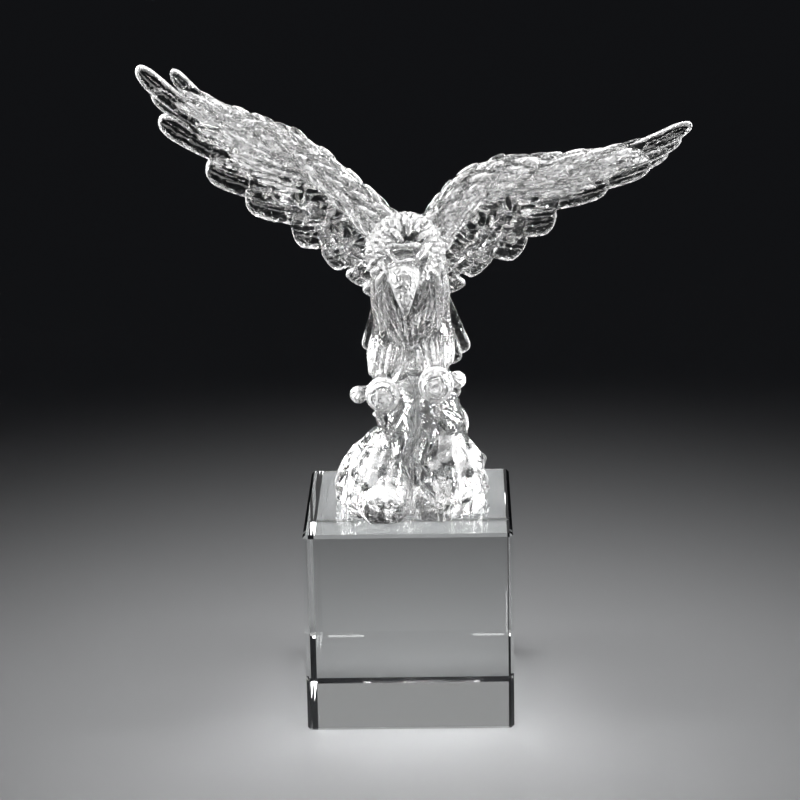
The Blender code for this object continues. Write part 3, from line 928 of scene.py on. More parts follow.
@dataclass
class Body:
    """The torso with its plumage, the feathers of the flanks and the fanned tail."""

    torso: tuple[Station, ...] = (
        (2.0, -12.0, 108.0, 9.5),
        (2.0, -9.0, 100.0, 12.0),
        (2.0, -5.5, 88.0, 13.4),
        (2.2, -2.5, 76.0, 12.8),
        (2.6, 1.0, 65.0, 11.0),
        (2.6, 5.0, 55.0, 6.5),
    )
    # Breadth and surface of one slender feather after another; the deep ones are clear crystal with
    # the darkest painted shade.
    side_mix: tuple[tuple[float, Surface], ...] = (
        *((0.9, Surface.FROSTED),) * 3,
        *((1.1, Surface.DEEP),) * 2,
    )
    belly_mix: tuple[tuple[float, Surface], ...] = (
        (0.6, Surface.FROSTED),
        *((1.0, Surface.DEEP),) * 2,
    )
    back_breadth: float = 2.2
    hem_breadth: float = 1.1
    side_locks: int = 90
    belly_locks: int = 42
    back_locks: int = 30
    lock_share: float = 0.34
    lock_half_width: float = 1.2
    lock_half_thickness: float = 1.2
    lock_sink: float = 0.2
    lock_bow: float = 1.0
    coat_lift: float = 1.0
    back_lift: float = 0.6
    hem_lift: float = 2.4
    coat_reach: float = 0.7
    side_start: float = -0.06
    belly_shares: tuple[float, float] = (0.08, 0.52)
    belly_lock_share: float = 0.24
    hem_locks: int = 26
    hem_shares: tuple[float, float] = (0.66, 0.86)
    hem_turn: float = math.radians(250)
    hem_scallop: float = 0.05
    hem_step: float = 0.04
    gather: float = 0.22
    belly_gather: float = 0.55
    belly_reach: float = math.radians(38)
    belly_overlap: float = 1.25
    side_reach: float = math.radians(115)
    back_reach: float = math.radians(60)
    flank_half_thickness: float = 1.5
    flank_bow: float = 1.0
    flanks: tuple[tuple[Point, Point, float], ...] = (
        ((-8.0, 9.0, 86.0), (-14.4, 9.0, 59.0), 3.8),
        ((-6.0, 7.0, 82.0), (-11.6, 7.0, 54.5), 4.2),
        ((-4.0, 11.0, 88.0), (-9.0, 11.0, 58.0), 4.2),
        ((12.0, 9.0, 86.0), (21.8, 9.0, 57.5), 4.4),
        ((10.0, 7.0, 82.0), (18.4, 7.0, 54.0), 4.4),
        ((8.0, 11.0, 88.0), (14.0, 11.0, 58.0), 4.4),
    )
    tail_root: Point = (2.5, 9.0, 64.0)
    tail_feathers: int = 7
    tail_spread: float = math.radians(56)
    tail_lean: float = 0.45
    tail_length: float = 44.0
    tail_shortening: float = 0.35
    tail_half_width: float = 5.0
    tail_half_thickness: float = 1.6
    tail_bow: float = 2.0
    tail_tilt: float = math.radians(6)

    def model(self, wax: WaxPattern, feather: FeatherMould, lock: FeatherMould) -> None:
        """Adds the body's forms.

        Args:
            wax: The pattern they are added to.
            feather: What the broad feathers are pressed from.
            lock: What the slender ones are pressed from.
        """
        # The torso is clear crystal with the darkest painted shade, which darkens the belly.
        wax.limb(self.torso, Surface.DEEP)
        self._coat(wax, lock)
        for root, tip, half_width in self.flanks:
            plate = feather.press(
                on_figure(*root),
                on_figure(*tip),
                half_width * MM,
                self.flank_half_thickness * MM,
                FORWARDS,
                self.flank_bow * MM,
            )
            wax.add(plate, Surface.RIPPLED)
        self._tail(wax, feather)
        locks = self.side_locks + self.belly_locks + self.back_locks + self.hem_locks
        LOG.info("body: %d slender feathers", locks)

    def _on_skin(self, share: float, angle: float, lift: float) -> tuple[Vector, Vector]:
        """Finds a point round the torso.

        Args:
            share: Its place along the torso.
            angle: Where it is round the torso, 0 in front.
            lift: How far it stands off the skin, in millimetres.

        Returns:
            The point, and the way out of the skin there.
        """
        centre, radius = along(self.torso, share)
        outward = Vector((math.sin(angle), -math.cos(angle), 0))
        return centre + outward * (radius + lift * MM), outward

    def _coat(self, wax: WaxPattern, mould: FeatherMould) -> None:
        """Covers the torso with slender feathers, the most of them frosted at the sides.

        Args:
            wax: The pattern they are added to.
            mould: What they are pressed from.
        """
        for i in range(self.side_locks):
            share = self.coat_reach * i / self.side_locks + self.side_start
            side = 1 if i % 2 else -1
            span = self.side_reach - self.belly_reach
            angle = side * (self.belly_reach + span * scattered(i))
            look = self.side_mix[i % len(self.side_mix)]
            self._lay(
                wax, mould, share, self.lock_share, angle, self.gather, self.coat_lift, *look
            )
        first, span = self.belly_shares
        for i in range(self.belly_locks):
            share = first + span * i / self.belly_locks
            angle = self.belly_reach * self.belly_overlap * (2 * scattered(i) - 1)
            look = self.belly_mix[i % len(self.belly_mix)]
            way = (share, self.belly_lock_share, angle, self.belly_gather)
            self._lay(wax, mould, *way, self.coat_lift, *look)
        for i in range(self.back_locks):
            share = self.coat_reach * i / self.back_locks
            angle = math.pi + self.back_reach * (2 * scattered(i) - 1)
            look = (self.back_breadth, Surface.CLEAR)
            self._lay(wax, mould, share, self.lock_share, angle, 0.0, self.back_lift, *look)
        first, last = self.hem_shares
        for i in range(self.hem_locks):
            angle = self.hem_turn * (i / (self.hem_locks - 1) - 0.5)
            start = first + self.hem_scallop * math.cos(2 * angle)
            reach = last - first + self.hem_step * (i % 3)
            look = (self.hem_breadth, Surface.FROSTED)
            self._lay(wax, mould, start, reach, angle, self.gather, self.hem_lift, *look)

    def _lay(
        self,
        wax: WaxPattern,
        mould: FeatherMould,
        share: float,
        reach: float,
        angle: float,
        gather: float,
        lift: float,
        broader: float,
        surface: Surface,
    ) -> None:
        """Lays one slender feather on the torso.

        Args:
            wax: The pattern it is added to.
            mould: What it is pressed from.
            share: Where it grows from, along the torso.
            reach: Its length as a share of the torso's.
            angle: Where it is round the torso, 0 in front.
            gather: How far its tip draws towards the middle.
            lift: How far its tip stands off the skin, in millimetres.
            broader: Its width against the usual one.
            surface: How its surface is textured.
        """
        root, outward = self._on_skin(share, angle, -self.lock_sink)
        tip, _ = self._on_skin(share + reach, angle - gather * math.sin(angle), lift)
        wax.add(
            mould.press(
                root,
                tip,
                self.lock_half_width * broader * MM,
                self.lock_half_thickness * MM,
                outward,
                self.lock_bow * MM,
            ),
            surface,
        )

    def _tail(self, wax: WaxPattern, mould: FeatherMould) -> None:
        """Fans the tail feathers down behind the legs.

        Args:
            wax: The pattern they are added to.
            mould: What they are pressed from.
        """
        root = on_figure(*self.tail_root)
        for i in range(self.tail_feathers):
            turn = self.tail_spread * (i / (self.tail_feathers - 1) - 0.5)
            way = Vector((math.sin(turn), self.tail_lean, -math.cos(turn))).normalized()
            length = self.tail_length * (1 - self.tail_shortening * abs(turn / self.tail_spread))
            feather = mould.press(
                root,
                root + way * length * MM,
                self.tail_half_width * MM,
                self.tail_half_thickness * MM,
                -FORWARDS,
                self.tail_bow * MM,
                tilt=self.tail_tilt,
            )
            wax.add(feather, Surface.RIPPLED)


@dataclass
class Leg:
    """A thigh with its long feathers, and a foot whose claws grip the rock."""

    side: Side
    thigh: Sequence[Station]
    toes: Sequence[Sequence[Station]]
    ribs: int = 15
    rib_turn: float = math.radians(250)
    rib_shares: tuple[float, float] = (0.1, 0.8)
    rib_inset: float = 0.7
    rib_lift: float = 0.4
    rib_step: float = 1.5
    rib_half_width: float = 1.0
    rib_half_thickness: float = 1.2
    rib_bow: float = 1.4
    # Ahead of the knuckle and down from it, and the radius, as shares of the knuckle's own.
    claw_line: tuple[Point, ...] = ((0.0, 0.3, 0.6), (0.45, 1.0, 0.35))
    claw_tip: tuple[float, float] = (0.1, 2.2)
    claw_point: float = 0.5
    smallest_clawed: float = 4.0
    ball_of_toe: float = 3.3
    front_row: float = 22.0
    knuckle_rings: tuple[tuple[float, Surface], ...] = (
        (0.3, Surface.FROSTED),
        (0.62, Surface.CLEAR),
        (0.9, Surface.FROSTED),
    )
    ring_thickness: float = 0.5
    ring_sink: float = 0.1
    ring_cuts: tuple[int, int] = (36, 8)

    def model(self, wax: WaxPattern, lock: FeatherMould) -> None:
        """Adds the leg's forms.

        Args:
            wax: The pattern they are added to.
            lock: What the thigh's feathers are pressed from.
        """
        wax.limb(self.thigh, Surface.CLEAR)
        (top, wide), (low, narrow) = (along(self.thigh, share) for share in self.rib_shares)
        for i in range(self.ribs):
            angle = self.rib_turn * (i / (self.ribs - 1) - 0.5)
            outward = Vector((math.sin(angle), -math.cos(angle), 0))
            rise = Vector((0, 0, (i % 3) * self.rib_step * MM))
            rib = lock.press(
                top + outward * wide * self.rib_inset,
                low + outward * (narrow + self.rib_lift * MM) + rise,
                self.rib_half_width * MM,
                self.rib_half_thickness * MM,
                outward,
                self.rib_bow * MM,
            )
            wax.add(rib, Surface.CLEAR if i % 3 == 2 else Surface.FROSTED)
        for toe in self.toes:
            x, y, height, radius = toe[-1]
            surface = Surface.FROSTED if radius > self.ball_of_toe else Surface.RIPPLED
            wax.limb(toe, Surface.RIPPLED)
            wax.ball((x, y, height), (radius,) * 3, surface)
            if radius > self.smallest_clawed:
                self._ring_knuckle(wax, toe[-1])
            if radius > self.smallest_clawed or abs(y) > self.front_row:
                self._claw(wax, toe[-2], toe[-1])
        LOG.info("%s leg: %d toes", self.side.name.lower(), len(self.toes))

    def _ring_knuckle(self, wax: WaxPattern, end: Station) -> None:
        """Adds the low rings of hard skin round a toe's knuckle.

        Args:
            wax: The pattern they are added to.
            end: The knuckle's middle and radius.
        """
        x, y, height, radius = end
        size = radius - self.ring_sink
        for share, surface in self.knuckle_rings:
            bpy.ops.mesh.primitive_torus_add(
                location=on_figure(x, y - size * math.sqrt(1 - share**2), height),
                rotation=(math.radians(90), 0, 0),
                major_radius=size * share * MM,
                minor_radius=self.ring_thickness * MM,
                major_segments=self.ring_cuts[0],
                minor_segments=self.ring_cuts[1],
            )
            wax.add(bpy.context.object, surface)

    def _claw(self, wax: WaxPattern, knuckle: Station, end: Station) -> None:
        """Adds a hooked claw that leaves the toe's end and curls down to the rock.

        Args:
            wax: The pattern it is added to.
            knuckle: The station before the toe's end.
            end: The toe's end.
        """
        start, size = Vector(end[:3]), end[3]
        ahead = start - Vector(knuckle[:3])
        ahead.z = 0
        ahead.normalize()
        stations = []
        for forth, down, radius in (*self.claw_line, (*self.claw_tip, self.claw_point / size)):
            spot = start + (ahead * forth + Vector((0, 0, -down))) * size
            stations.append((*spot, radius * size))
        wax.limb(stations, Surface.RIPPLED)


@dataclass
class Rock:
    """The split rock: two lobes by a crevice, with folds that run down them like set wax."""

    # Height, then the left, right, front and back.
    outline: tuple[tuple[float, float, float, float, float], ...] = (
        (0.0, -26.8, 29.4, -27.6, 27.0),
        (8.0, -27.0, 30.0, -28.6, 28.0),
        (16.0, -23.6, 28.2, -27.6, 26.0),
        (20.0, -20.8, 26.4, -26.6, 23.0),
        (25.0, -16.8, 25.2, -25.0, 20.0),
        (30.0, -13.6, 24.8, -23.6, 17.6),
        (36.0, -11.6, 21.2, -20.6, 16.0),
        (41.0, -9.8, 18.4, -17.0, 15.0),
        (45.0, -7.5, 15.0, -13.0, 14.0),
        (50.0, -3.0, 9.0, -6.0, 12.0),
    )
    segments: int = 220
    rings: int = 130
    squareness: float = 2.3
    underground: float = 3.0
    foot_share: float = 0.04
    top_shares: tuple[float, float] = (0.84, 0.16)
    # x, height and depth.
    crevice: tuple[Point, ...] = (
        (1.2, 0.0, 11.0),
        (3.2, 12.0, 11.0),
        (0.4, 24.0, 10.0),
        (2.6, 36.0, 8.0),
        (2.0, 50.0, 2.0),
    )
    crevice_width: float = 3.8
    # Folds to the millimetre, across and down, and their depth.
    folds: tuple[Point, ...] = ((0.08, 0.05, 4.5), (0.17, 0.1, 2.2), (0.36, 0.22, 0.6))
    warp: float = 9.0
    warp_scale: float = 0.06
    rime_heights: tuple[float, float] = (9.0, 33.0)
    rime_scale: float = 0.13
    rime_least: float = -0.02

    def model(self, wax: WaxPattern) -> None:
        """Adds the rock.

        Args:
            wax: The pattern it is added to.
        """
        bpy.ops.mesh.primitive_uv_sphere_add(
            segments=self.segments, ring_count=self.rings, radius=1
        )
        stone = bpy.context.object
        stone.matrix_world = Matrix.Rotation(math.radians(-90), 4, "Y")
        inwards = stone.matrix_world.inverted()
        rime = stone.data.attributes.new("rim", "FLOAT", "POINT")
        for vertex in stone.data.vertices:
            place = self._folded(vertex.co)
            vertex.co = inwards @ place
            rime.data[vertex.index].value = self._rime(place)
        wax.add(stone, Surface.RIPPLED)
        LOG.info("rock: %d vertices", len(stone.data.vertices))

    def _rime(self, place: Vector) -> float:
        """Says how milky the rock is: in patches, away from the foot and the crevice.

        Args:
            place: The point.

        Returns:
            The texture there, as a Surface has it.
        """
        spot = (place - Vector((0, 0, CUBE_TOP))) / MM
        low, high = self.rime_heights
        bend, _, _ = self._at(self.crevice, 1, spot.z)
        split = spot.y < 0 and abs(spot.x - bend) < 2 * self.crevice_width
        milky = noise.noise(spot * self.rime_scale) > self.rime_least
        return Surface.FIBROUS.value if low < spot.z < high and milky and not split else 0.0

    def _at(self, table: Sequence[Sequence[float]], key: int, height: float) -> list[float]:
        """Reads a table between its rows.

        Args:
            table: Rows in order of height.
            key: Which column is the height.
            height: The height in millimetres.

        Returns:
            The row at that height.
        """
        heights = [row[key] for row in table]
        return [float(np.interp(height, heights, column)) for column in zip(*table)]

    def _folded(self, way: Vector) -> Vector:
        """Where a point of the unit sphere lies on the rock.

        Args:
            way: The point.

        Returns:
            Its place in metres.
        """
        share = math.asin(max(-1.0, min(1.0, way.z))) / math.pi + 0.5
        height = (self.outline[-1][0] + self.underground) * share - self.underground
        _, left, right, front, back = self._at(self.outline, 0, height)
        shoulder, dome = self.top_shares
        closing = min(1.0, math.sqrt(share / self.foot_share)) * math.sqrt(
            max(0.0, 1 - (max(share - shoulder, 0.0) / dome) ** 2)
        )
        flat = Vector((way.x, way.y, 0))
        if flat.length < TINY:
            return on_figure((left + right) / 2, (front + back) / 2, height)
        flat.normalize()
        rim = squared(flat.x, flat.y, self.squareness)
        spot = Vector(
            (
                (left + right) / 2 + flat.x * rim * closing * (right - left) / 2,
                (front + back) / 2 + flat.y * rim * closing * (back - front) / 2,
                height,
            )
        )
        bend, _, depth = self._at(self.crevice, 1, height)
        lift = -depth * math.exp(-(((spot.x - bend) / self.crevice_width) ** 2)) * abs(flat.y)
        drift = noise.noise(spot * self.warp_scale) * self.warp
        for across, down, rise in self.folds:
            grain = Vector(((spot.x + drift) * across, spot.y * across, (spot.z + drift) * down))
            lift += rise * noise.noise(grain)
        return on_figure(*(spot + flat * lift * closing))


LEFT_WING = Wing(
    Side.LEFT,
    arm=(
        (0.0, 0.0, 102.0, 9.0),
        (-13.0, 2.0, 115.5, 7.4),
        (-29.0, 3.0, 131.0, 6.8),
        (-45.0, 2.0, 144.0, 6.0),
        (-58.0, 0.0, 150.2, 5.0),
        (-76.0, -2.5, 159.4, 3.2),
    ),
    quills=(
        (0.90, -86.4, 1.0, 171.6, 3.2, 12),
        (0.84, -98.9, -3.0, 173.6, 4.2, 12),
        (0.78, -93.8, -1.0, 164.0, 4.0, 10),
        (0.70, -91.8, 1.0, 153.4, 4.9, 12),
        (0.60, -74.8, 3.0, 134.4, 6.2, 15),
        (0.47, -60.4, 5.0, 121.8, 6.5, 17),
        (0.33, -43.0, 8.0, 107.4, 7.0, 14),
        (0.20, -30.6, 9.0, 96.0, 6.2, 8),
        (0.10, -20.6, 9.0, 87.4, 5.0, 4),
        (0.02, -13.4, 8.0, 81.5, 5.0, 0),
    ),
)
RIGHT_WING = Wing(
    Side.RIGHT,
    arm=(
        (6.0, 0.0, 101.0, 8.8),
        (15.4, 2.0, 113.0, 7.6),
        (25.0, 3.0, 124.6, 7.4),
        (40.0, 2.0, 130.6, 6.8),
        (60.0, 0.0, 132.0, 5.8),
        (84.0, -2.5, 137.6, 3.4),
    ),
    quills=(
        (0.88, 109.0, -3.0, 148.8, 3.5, 8),
        (0.84, 105.2, -2.0, 143.6, 3.8, 10),
        (0.79, 100.4, -1.0, 138.2, 3.9, 10),
        (0.74, 94.0, 1.0, 133.0, 4.4, 11),
        (0.66, 78.2, 3.0, 125.2, 4.9, 14),
        (0.57, 58.2, 5.0, 111.4, 6.4, 20),
        (0.42, 46.2, 7.0, 100.2, 7.2, 16),
        (0.24, 31.4, 8.0, 92.6, 7.6, 10),
        (0.06, 20.3, 8.0, 83.5, 5.2, 4),
    ),
)
LEFT_LEG = Leg(
    Side.LEFT,
    thigh=(
        (-4.0, 0.0, 76.0, 8.0),
        (-5.6, -5.0, 66.0, 8.0),
        (-7.4, -9.0, 58.0, 6.2),
        (-8.8, -12.0, 50.0, 4.2),
    ),
    toes=(
        ((-8.8, -12.0, 50.0, 4.2), (-9.0, -19.0, 52.0, 4.8), (-8.6, -24.5, 51.2, 6.6)),
        ((-9.5, -12.0, 50.0, 3.4), (-14.5, -16.0, 50.0, 2.2), (-18.0, -18.0, 49.2, 3.4)),
        ((-6.5, -12.0, 50.0, 3.2), (-1.8, -18.0, 46.5, 2.8), (-5.6, -23.0, 37.5, 2.0)),
        ((-8.8, -12.0, 50.0, 3.4), (-8.4, -5.0, 47.0, 3.0), (-8.4, -1.0, 44.0, 2.4)),
    ),
)
RIGHT_LEG = Leg(
    Side.RIGHT,
    thigh=(
        (9.0, 0.0, 77.0, 8.0),
        (10.8, -5.0, 68.0, 8.0),
        (11.4, -9.0, 61.0, 6.2),
        (11.2, -12.0, 54.0, 4.2),
    ),
    toes=(
        ((11.2, -12.0, 54.0, 4.2), (11.2, -19.0, 55.0, 4.8), (11.6, -24.5, 54.8, 6.8)),
        ((12.0, -12.0, 54.0, 3.4), (16.5, -16.0, 54.4, 2.2), (19.6, -18.0, 54.6, 3.4)),
        ((9.5, -12.0, 52.0, 3.2), (8.0, -20.0, 46.0, 2.8), (8.8, -24.0, 39.5, 3.2)),
        ((11.2, -12.0, 54.0, 3.4), (10.8, -5.0, 50.0, 3.0), (10.8, -1.0, 46.0, 2.4)),
    ),
)


class Bench:
    """One new material: its shader, and the short way to add nodes to it."""

    def __init__(self, name: str) -> None:
        """Starts the material.

        Args:
            name: What it is called.
        """
        self.material = bpy.data.materials.new(name)
        self.material.use_nodes = True
        self.tree = self.material.node_tree
        self.shader = self.tree.nodes["Principled BSDF"]

    def fill(self, node: bpy.types.Node, inputs: Mapping[str | int, Any]) -> None:
        """Gives a node's inputs their values.

        Args:
            node: The node.
            inputs: For each input, its value, or the output that is linked to it.
        """
        for key, value in inputs.items():
            if isinstance(value, bpy.types.NodeSocket):
                self.tree.links.new(value, node.inputs[key])
            else:
                node.inputs[key].default_value = value

    def add(
        self, kind: str, inputs: Mapping[str | int, Any], operation: str | None = None
    ) -> bpy.types.NodeSocket:
        """Adds a node.

        Args:
            kind: Its type.
            inputs: For each input, its value, or the output that is linked to it.
            operation: What it works out, where it is a math node.

        Returns:
            Its first output.
        """
        node = self.tree.nodes.new(kind)
        if operation:
            node.operation = operation
        self.fill(node, inputs)
        return node.outputs[0]


@dataclass(frozen=True)
class CastCrystal:
    """Cast crystal as the mould left it: fibres that follow each form, swirls and ripples, with
    painted shade in the hollows of the fibres and swirls and painted light on their crests.
    """

    name: str
    transmission: float
    roughness: float
    fibre_depth: float
    swirl_depth: float
    ripple_depth: float
    # The base colour in the relief's hollows and on its crests: painted shade and painted light.
    shades: tuple[float, float]
    relief_for_painted_shade: tuple[float, float]
    index: float = 1.5
    fibre_scale: tuple[float, float, float] = (50.0, 200.0, 200.0)
    fibre_turns: float = 6.0
    swirl_scale: float = 150.0
    swirl_turns: float = 8.0
    ripple_scale: float = 260.0
    ripple_distortion: float = 0.8
    detail: float = 1.0

    def material(self) -> bpy.types.Material:
        """Builds the shader.

        Returns:
            The material.
        """
        bench = Bench(self.name)
        flow = bench.tree.nodes.new("ShaderNodeAttribute")
        flow.attribute_name = "flow"
        along_form = bench.add(
            "ShaderNodeMapping", {"Vector": flow.outputs["Vector"], "Scale": self.fibre_scale}
        )
        place = bench.tree.nodes.new("ShaderNodeTexCoord").outputs["Object"]
        fibres = self._rings(bench, along_form, 1.0, self.fibre_turns)
        swirls = self._rings(bench, place, self.swirl_scale, self.swirl_turns)
        ripples = bench.add(
            "ShaderNodeTexNoise",
            {
                "Vector": place,
                "Scale": self.ripple_scale,
                "Detail": self.detail,
                "Distortion": self.ripple_distortion,
            },
        )
        normal: dict[str, Any] = {}
        for height, depth in (
            (fibres, self.fibre_depth),
            (swirls, self.swirl_depth),
            (ripples, self.ripple_depth),
        ):
            relief = {"Height": height, "Distance": depth, **normal}
            normal = {"Normal": bench.add("ShaderNodeBump", relief)}
        # Painted shade and light: the base colour follows the fibres and swirls, darker in their
        # hollows and lighter on their crests.
        painted_shade = bench.add(
            "ShaderNodeMapRange",
            {
                "Value": bench.add("ShaderNodeMath", {0: fibres, 1: swirls}, "ADD"),
                "From Min": self.relief_for_painted_shade[0],
                "From Max": self.relief_for_painted_shade[1],
                "To Min": self.shades[0],
                "To Max": self.shades[1],
            },
        )
        bench.fill(
            bench.shader,
            {
                "Base Color": painted_shade,
                "IOR": self.index,
                "Transmission Weight": self.transmission,
                "Roughness": self.roughness,
                **normal,
            },
        )
        return bench.material

    def _rings(
        self, bench: Bench, place: bpy.types.NodeSocket, scale: float, turns: float
    ) -> bpy.types.NodeSocket:
        """Adds the nodes for nested rings, the level lines of a soft noise.

        Args:
            bench: The material they are added to.
            place: The coordinates that the rings follow.
            scale: The scale of the noise.
            turns: How many rings there are from its lowest point to its highest.

        Returns:
            The height, between -1 and 1.
        """
        hills = bench.add(
            "ShaderNodeTexNoise", {"Vector": place, "Scale": scale, "Detail": self.detail}
        )
        turned = bench.add("ShaderNodeMath", {0: hills, 1: turns * math.tau}, "MULTIPLY")
        return bench.add("ShaderNodeMath", {0: turned}, "SINE")


# In each finish, shades are the painted shade in the relief's hollows and the painted light on its
# crests, spread over the given span of the relief.
CLEAR_CAST = CastCrystal(
    name="clear cast crystal",
    transmission=1.0,
    roughness=0.005,
    fibre_depth=0.03 * MM,
    swirl_depth=0.05 * MM,
    ripple_depth=0.16 * MM,
    shades=(0.33, 1.0),
    relief_for_painted_shade=(-0.8, 1.2),
)
# Clear cast crystal with deeper fibres and darker painted shade in the hollows of its relief, which
# darkens the belly.
DEEP_DARK_SHADED_CAST = replace(
    CLEAR_CAST,
    name="deep cast crystal",
    fibre_depth=0.05 * MM,
    shades=(0.12, 1.0),
    relief_for_painted_shade=(-0.6, 1.2),
)
SATIN_CAST = CastCrystal(
    name="satin cast crystal",
    transmission=0.75,
    roughness=0.08,
    fibre_depth=0.2 * MM,
    swirl_depth=0.4 * MM,
    ripple_depth=0.2 * MM,
    shades=(0.25, 1.0),
    relief_for_painted_shade=(-1.4, 0.2),
    fibre_scale=(30.0, 110.0, 110.0),
    fibre_turns=5.0,
    swirl_scale=75.0,
    swirl_turns=4.0,
)
FROSTED_CAST = CastCrystal(
    name="frosted cast crystal",
    transmission=0.55,
    roughness=0.2,
    fibre_depth=0.3 * MM,
    swirl_depth=0.25 * MM,
    ripple_depth=0.3 * MM,
    shades=(0.42, 0.88),
    relief_for_painted_shade=(-1.2, 0.5),
    fibre_scale=(60.0, 240.0, 240.0),
    fibre_turns=3.0,
    swirl_scale=330.0,
    swirl_turns=3.0,
)
MATT_CAST = replace(
    FROSTED_CAST,
    name="matt cast crystal",
    transmission=0.4,
    roughness=0.3,
    shades=(0.3, 0.5),
)


@dataclass(frozen=True)
class PolishedCrystal:
    """Optical crystal, ground flat and polished, with the faint haze that wiping leaves."""

    name: str = "polished crystal"
    colour: tuple[float, float, float, float] = (0.975, 0.99, 0.985, 1.0)
    index: float = 1.52
    haze_scale: float = 35.0
    haze_detail: float = 4.0
    haze_band: tuple[float, float] = (0.45, 0.75)
    haze_roughness: tuple[float, float] = (0.0, 0.012)

    def material(self) -> bpy.types.Material:
        """Builds the shader.

        Returns:
            The material.
        """
        bench = Bench(self.name)
        place = bench.tree.nodes.new("ShaderNodeTexCoord").outputs["Object"]
        haze = bench.add(
            "ShaderNodeTexNoise",
            {"Vector": place, "Scale": self.haze_scale, "Detail": self.haze_detail},
        )
        dull = bench.add(
            "ShaderNodeMapRange",
            {
                "Value": haze,
                "From Min": self.haze_band[0],
                "From Max": self.haze_band[1],
                "To Min": self.haze_roughness[0],
                "To Max": self.haze_roughness[1],
            },
        )
        bench.fill(
            bench.shader,
            {
                "Base Color": self.colour,
                "IOR": self.index,
                "Transmission Weight": 1.0,
                "Roughness": dull,
            },
        )
        return bench.material


@dataclass
class CastFigure:
    """The eagle and its rock, cast as one piece of crystal."""

    name: str = "cast_eagle_and_rock"
    # Each finish, and the least texture of a face that gets it.
    finishes: tuple[tuple[CastCrystal, float], ...] = (
        (DEEP_DARK_SHADED_CAST, -1.0),
        (CLEAR_CAST, -0.5),
        (SATIN_CAST, 0.45),
        (FROSTED_CAST, 0.8),
        (MATT_CAST, 1.5),
    )

    def build(self) -> bpy.types.Object:
        """Models the figure, melts its forms together and dresses it.

        Returns:
            The finished figure.
        """
        wax = WaxPattern()
        feather = FeatherMould(rim_frost=Surface.FROSTED.value)
        feather.carve()
        covert = FeatherMould(
            squareness=3.5,
            slenderness=3.0,
            root_width=0.85,
            dish_depth=0.7,
            shaft_rise=0.1,
            barb_depth=0.0,
        )
        covert.carve()
        lock = FeatherMould(
            segments=10,
            rings=18,
            squareness=2.2,
            slenderness=1.2,
            bluntness=2.0,
            root_width=0.8,
            dish_depth=1.0,
            shaft_rise=0.2,
            barb_depth=0.0,
        )
        lock.carve()
        Body().model(wax, feather, lock)
        Head().model(wax, lock)
        for wing in (LEFT_WING, RIGHT_WING):
            wing.model(wax, feather, covert, lock)
        for leg in (LEFT_LEG, RIGHT_LEG):
            leg.model(wax, lock)
        Rock().model(wax)
        figure = wax.melt(self.name)
        for mould in (feather, covert, lock):
            bpy.data.objects.remove(mould.blank)
        self._dress(figure)
        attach(figure, "root")
        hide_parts("eagle_on_rock")
        LOG.info("%s: %d triangles", figure.name, len(figure.data.polygons))
        return figure

    def _dress(self, figure: bpy.types.Object) -> None:
        """Gives each face the finish of the form that it came from.

        Args:
            figure: The skin, with its texture written on its vertices.
        """
        mesh = figure.data
        mesh.materials.clear()
        frost = np.empty(len(mesh.vertices), np.float32)
        mesh.attributes["frost"].data.foreach_get("value", frost)
        corners = np.empty(len(mesh.polygons) * 3, np.int32)
        mesh.polygons.foreach_get("vertices", corners)
        levels = frost[corners.reshape(-1, 3)].mean(axis=1)
        chosen = np.zeros(len(levels), np.int32)
        for number, (finish, least) in enumerate(self.finishes):
            mesh.materials.append(finish.material())
            chosen[levels >= least] = number
        mesh.polygons.foreach_set("material_index", chosen)
        mesh.update()


@dataclass
class CubePlinth:
    """The polished cube, which stays the CAD's own."""

    finish: PolishedCrystal = PolishedCrystal()

    def dress(self) -> bpy.types.Object:
        """Gives the cube its finish.

        Returns:
            The cube.
        """
        cube = frame["nodes"]["crystal_cube_plinth"]
        cube.data.materials.clear()
        cube.data.materials.append(self.finish.material())
        LOG.info("%s: dressed", cube.name)
        return cube


class Lit(Enum):
    """What a light falls on."""

    FIGURE = ("cast_eagle_and_rock",)
    CRYSTAL = ("cast_eagle_and_rock", "crystal_cube_plinth")
    TABLE = ("table",)


@dataclass(frozen=True)
class SoftLight:
    """A soft box that the camera doesn't see."""

    name: str
    place: Point
    width: float
    height: float
    watts: float
    aim: Point = (0, 0, 0.17)
    spread: float = math.radians(90)
    lit: Lit = Lit.CRYSTAL

    def pair(self) -> tuple["SoftLight", ...]:
        """This light on the left and on the right, as mirror images."""
        x, *rest = self.place
        return tuple(
            replace(self, name=f"{side.name.lower()}_{self.name}", place=(side.value * x, *rest))
            for side in Side
        )

    def hang(self) -> None:
        """Hangs the light, and shades everything from it that it isn't meant for."""
        way = Vector(self.aim) - Vector(self.place)
        bpy.ops.object.light_add(
            type="AREA", location=self.place, rotation=way.to_track_quat("-Z", "Y").to_euler()
        )
        lamp = bpy.context.object
        lamp.name = self.name
        lamp.visible_camera = False
        lamp.data.shape = "RECTANGLE"
        lamp.data.size = self.width
        lamp.data.size_y = self.height
        lamp.data.energy = self.watts
        lamp.data.spread = self.spread
        receivers = bpy.data.collections.new(f"{self.name}_receivers")
        for name in self.lit.value:
            receivers.objects.link(bpy.data.objects[name])
        lamp.light_linking.receiver_collection = receivers


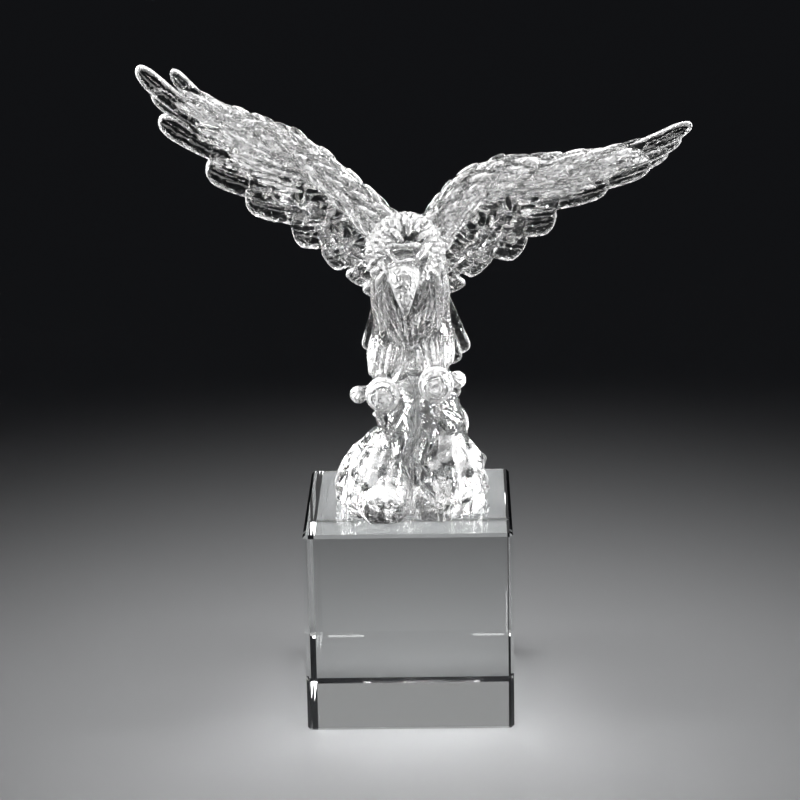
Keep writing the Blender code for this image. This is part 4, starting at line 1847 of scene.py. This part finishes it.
@dataclass
class Studio:
    """A pale table in a dark room, its soft lights, and the camera of the photograph."""

    air_gap: float = 0.1 * MM
    table_size: float = 8.0
    table_roughness: float = 0.6
    table_colour: tuple[float, float, float, float] = (0.5, 0.505, 0.515, 1.0)
    room_colour: tuple[float, float, float, float] = (0.010, 0.0105, 0.012, 1.0)
    lights: tuple[SoftLight, ...] = (
        *SoftLight("light", (0.75, -0.15, 0.35), 0.35, 0.9, 10.0, lit=Lit.FIGURE).pair(),
        *SoftLight("rim_light", (0.5, 0.6, 0.5), 0.3, 0.6, 4.0).pair(),
        SoftLight("top_light", (0, 0.15, 0.95), 1.0, 0.5, 4.0, aim=(0, 0, 0.1)),
        SoftLight("back_light", (0, 1.4, 0.44), 1.2, 0.5, 0.5, spread=math.pi),
        SoftLight(
            "table_light",
            (0, -0.05, 0.9),
            0.3,
            0.3,
            0.42,
            aim=(0, -0.05, 0),
            spread=math.radians(45),
            lit=Lit.TABLE,
        ),
    )
    azimuth: float = math.radians(1.3038)
    elevation: float = math.radians(16.7631)
    roll: float = math.radians(-1.1382)
    distance: float = 1.06637
    target: Point = (-0.0026958, 0.0, 0.1214088)
    lens_mm: float = 123.56
    sensor_mm: float = 36.0

    def build(self) -> None:
        """Lays the table, hangs the lights and sets up the camera."""
        bpy.context.scene.view_settings.view_transform = "Standard"
        bpy.ops.mesh.primitive_plane_add(size=self.table_size, location=(0, 0, -self.air_gap))
        table = bpy.context.object
        table.name = "table"
        bpy.ops.object.transform_apply()
        paint = Bench("pale table")
        paint.fill(
            paint.shader, {"Base Color": self.table_colour, "Roughness": self.table_roughness}
        )
        table.data.materials.append(paint.material)
        world = bpy.data.worlds.new("dark room")
        world.use_nodes = True
        world.node_tree.nodes["Background"].inputs["Color"].default_value = self.room_colour
        bpy.context.scene.world = world
        for light in self.lights:
            light.hang()
        self._camera()

    def _camera(self) -> None:
        """Puts the camera where the photograph's was."""
        level = math.cos(self.elevation)
        x, y = math.sin(self.azimuth) * level, -math.cos(self.azimuth) * level
        back = Vector((x, y, math.sin(self.elevation)))
        place = Vector(self.target) + back * self.distance
        turn = back.to_track_quat("Z", "Y").to_matrix() @ Matrix.Rotation(self.roll, 3, "Z")
        bpy.ops.object.camera_add(location=place, rotation=turn.to_euler())
        camera = bpy.context.object
        camera.name = "camera"
        camera.data.lens = self.lens_mm
        camera.data.sensor_width = self.sensor_mm
        bpy.context.scene.camera = camera


def main() -> None:
    """Builds the figure and the studio."""
    logging.basicConfig(level=logging.INFO, format="%(message)s")
    bpy.ops.object.select_all(action="DESELECT")
    CubePlinth().dress()
    CastFigure().build()
    Studio().build()


if __name__ == "__main__":
    main()
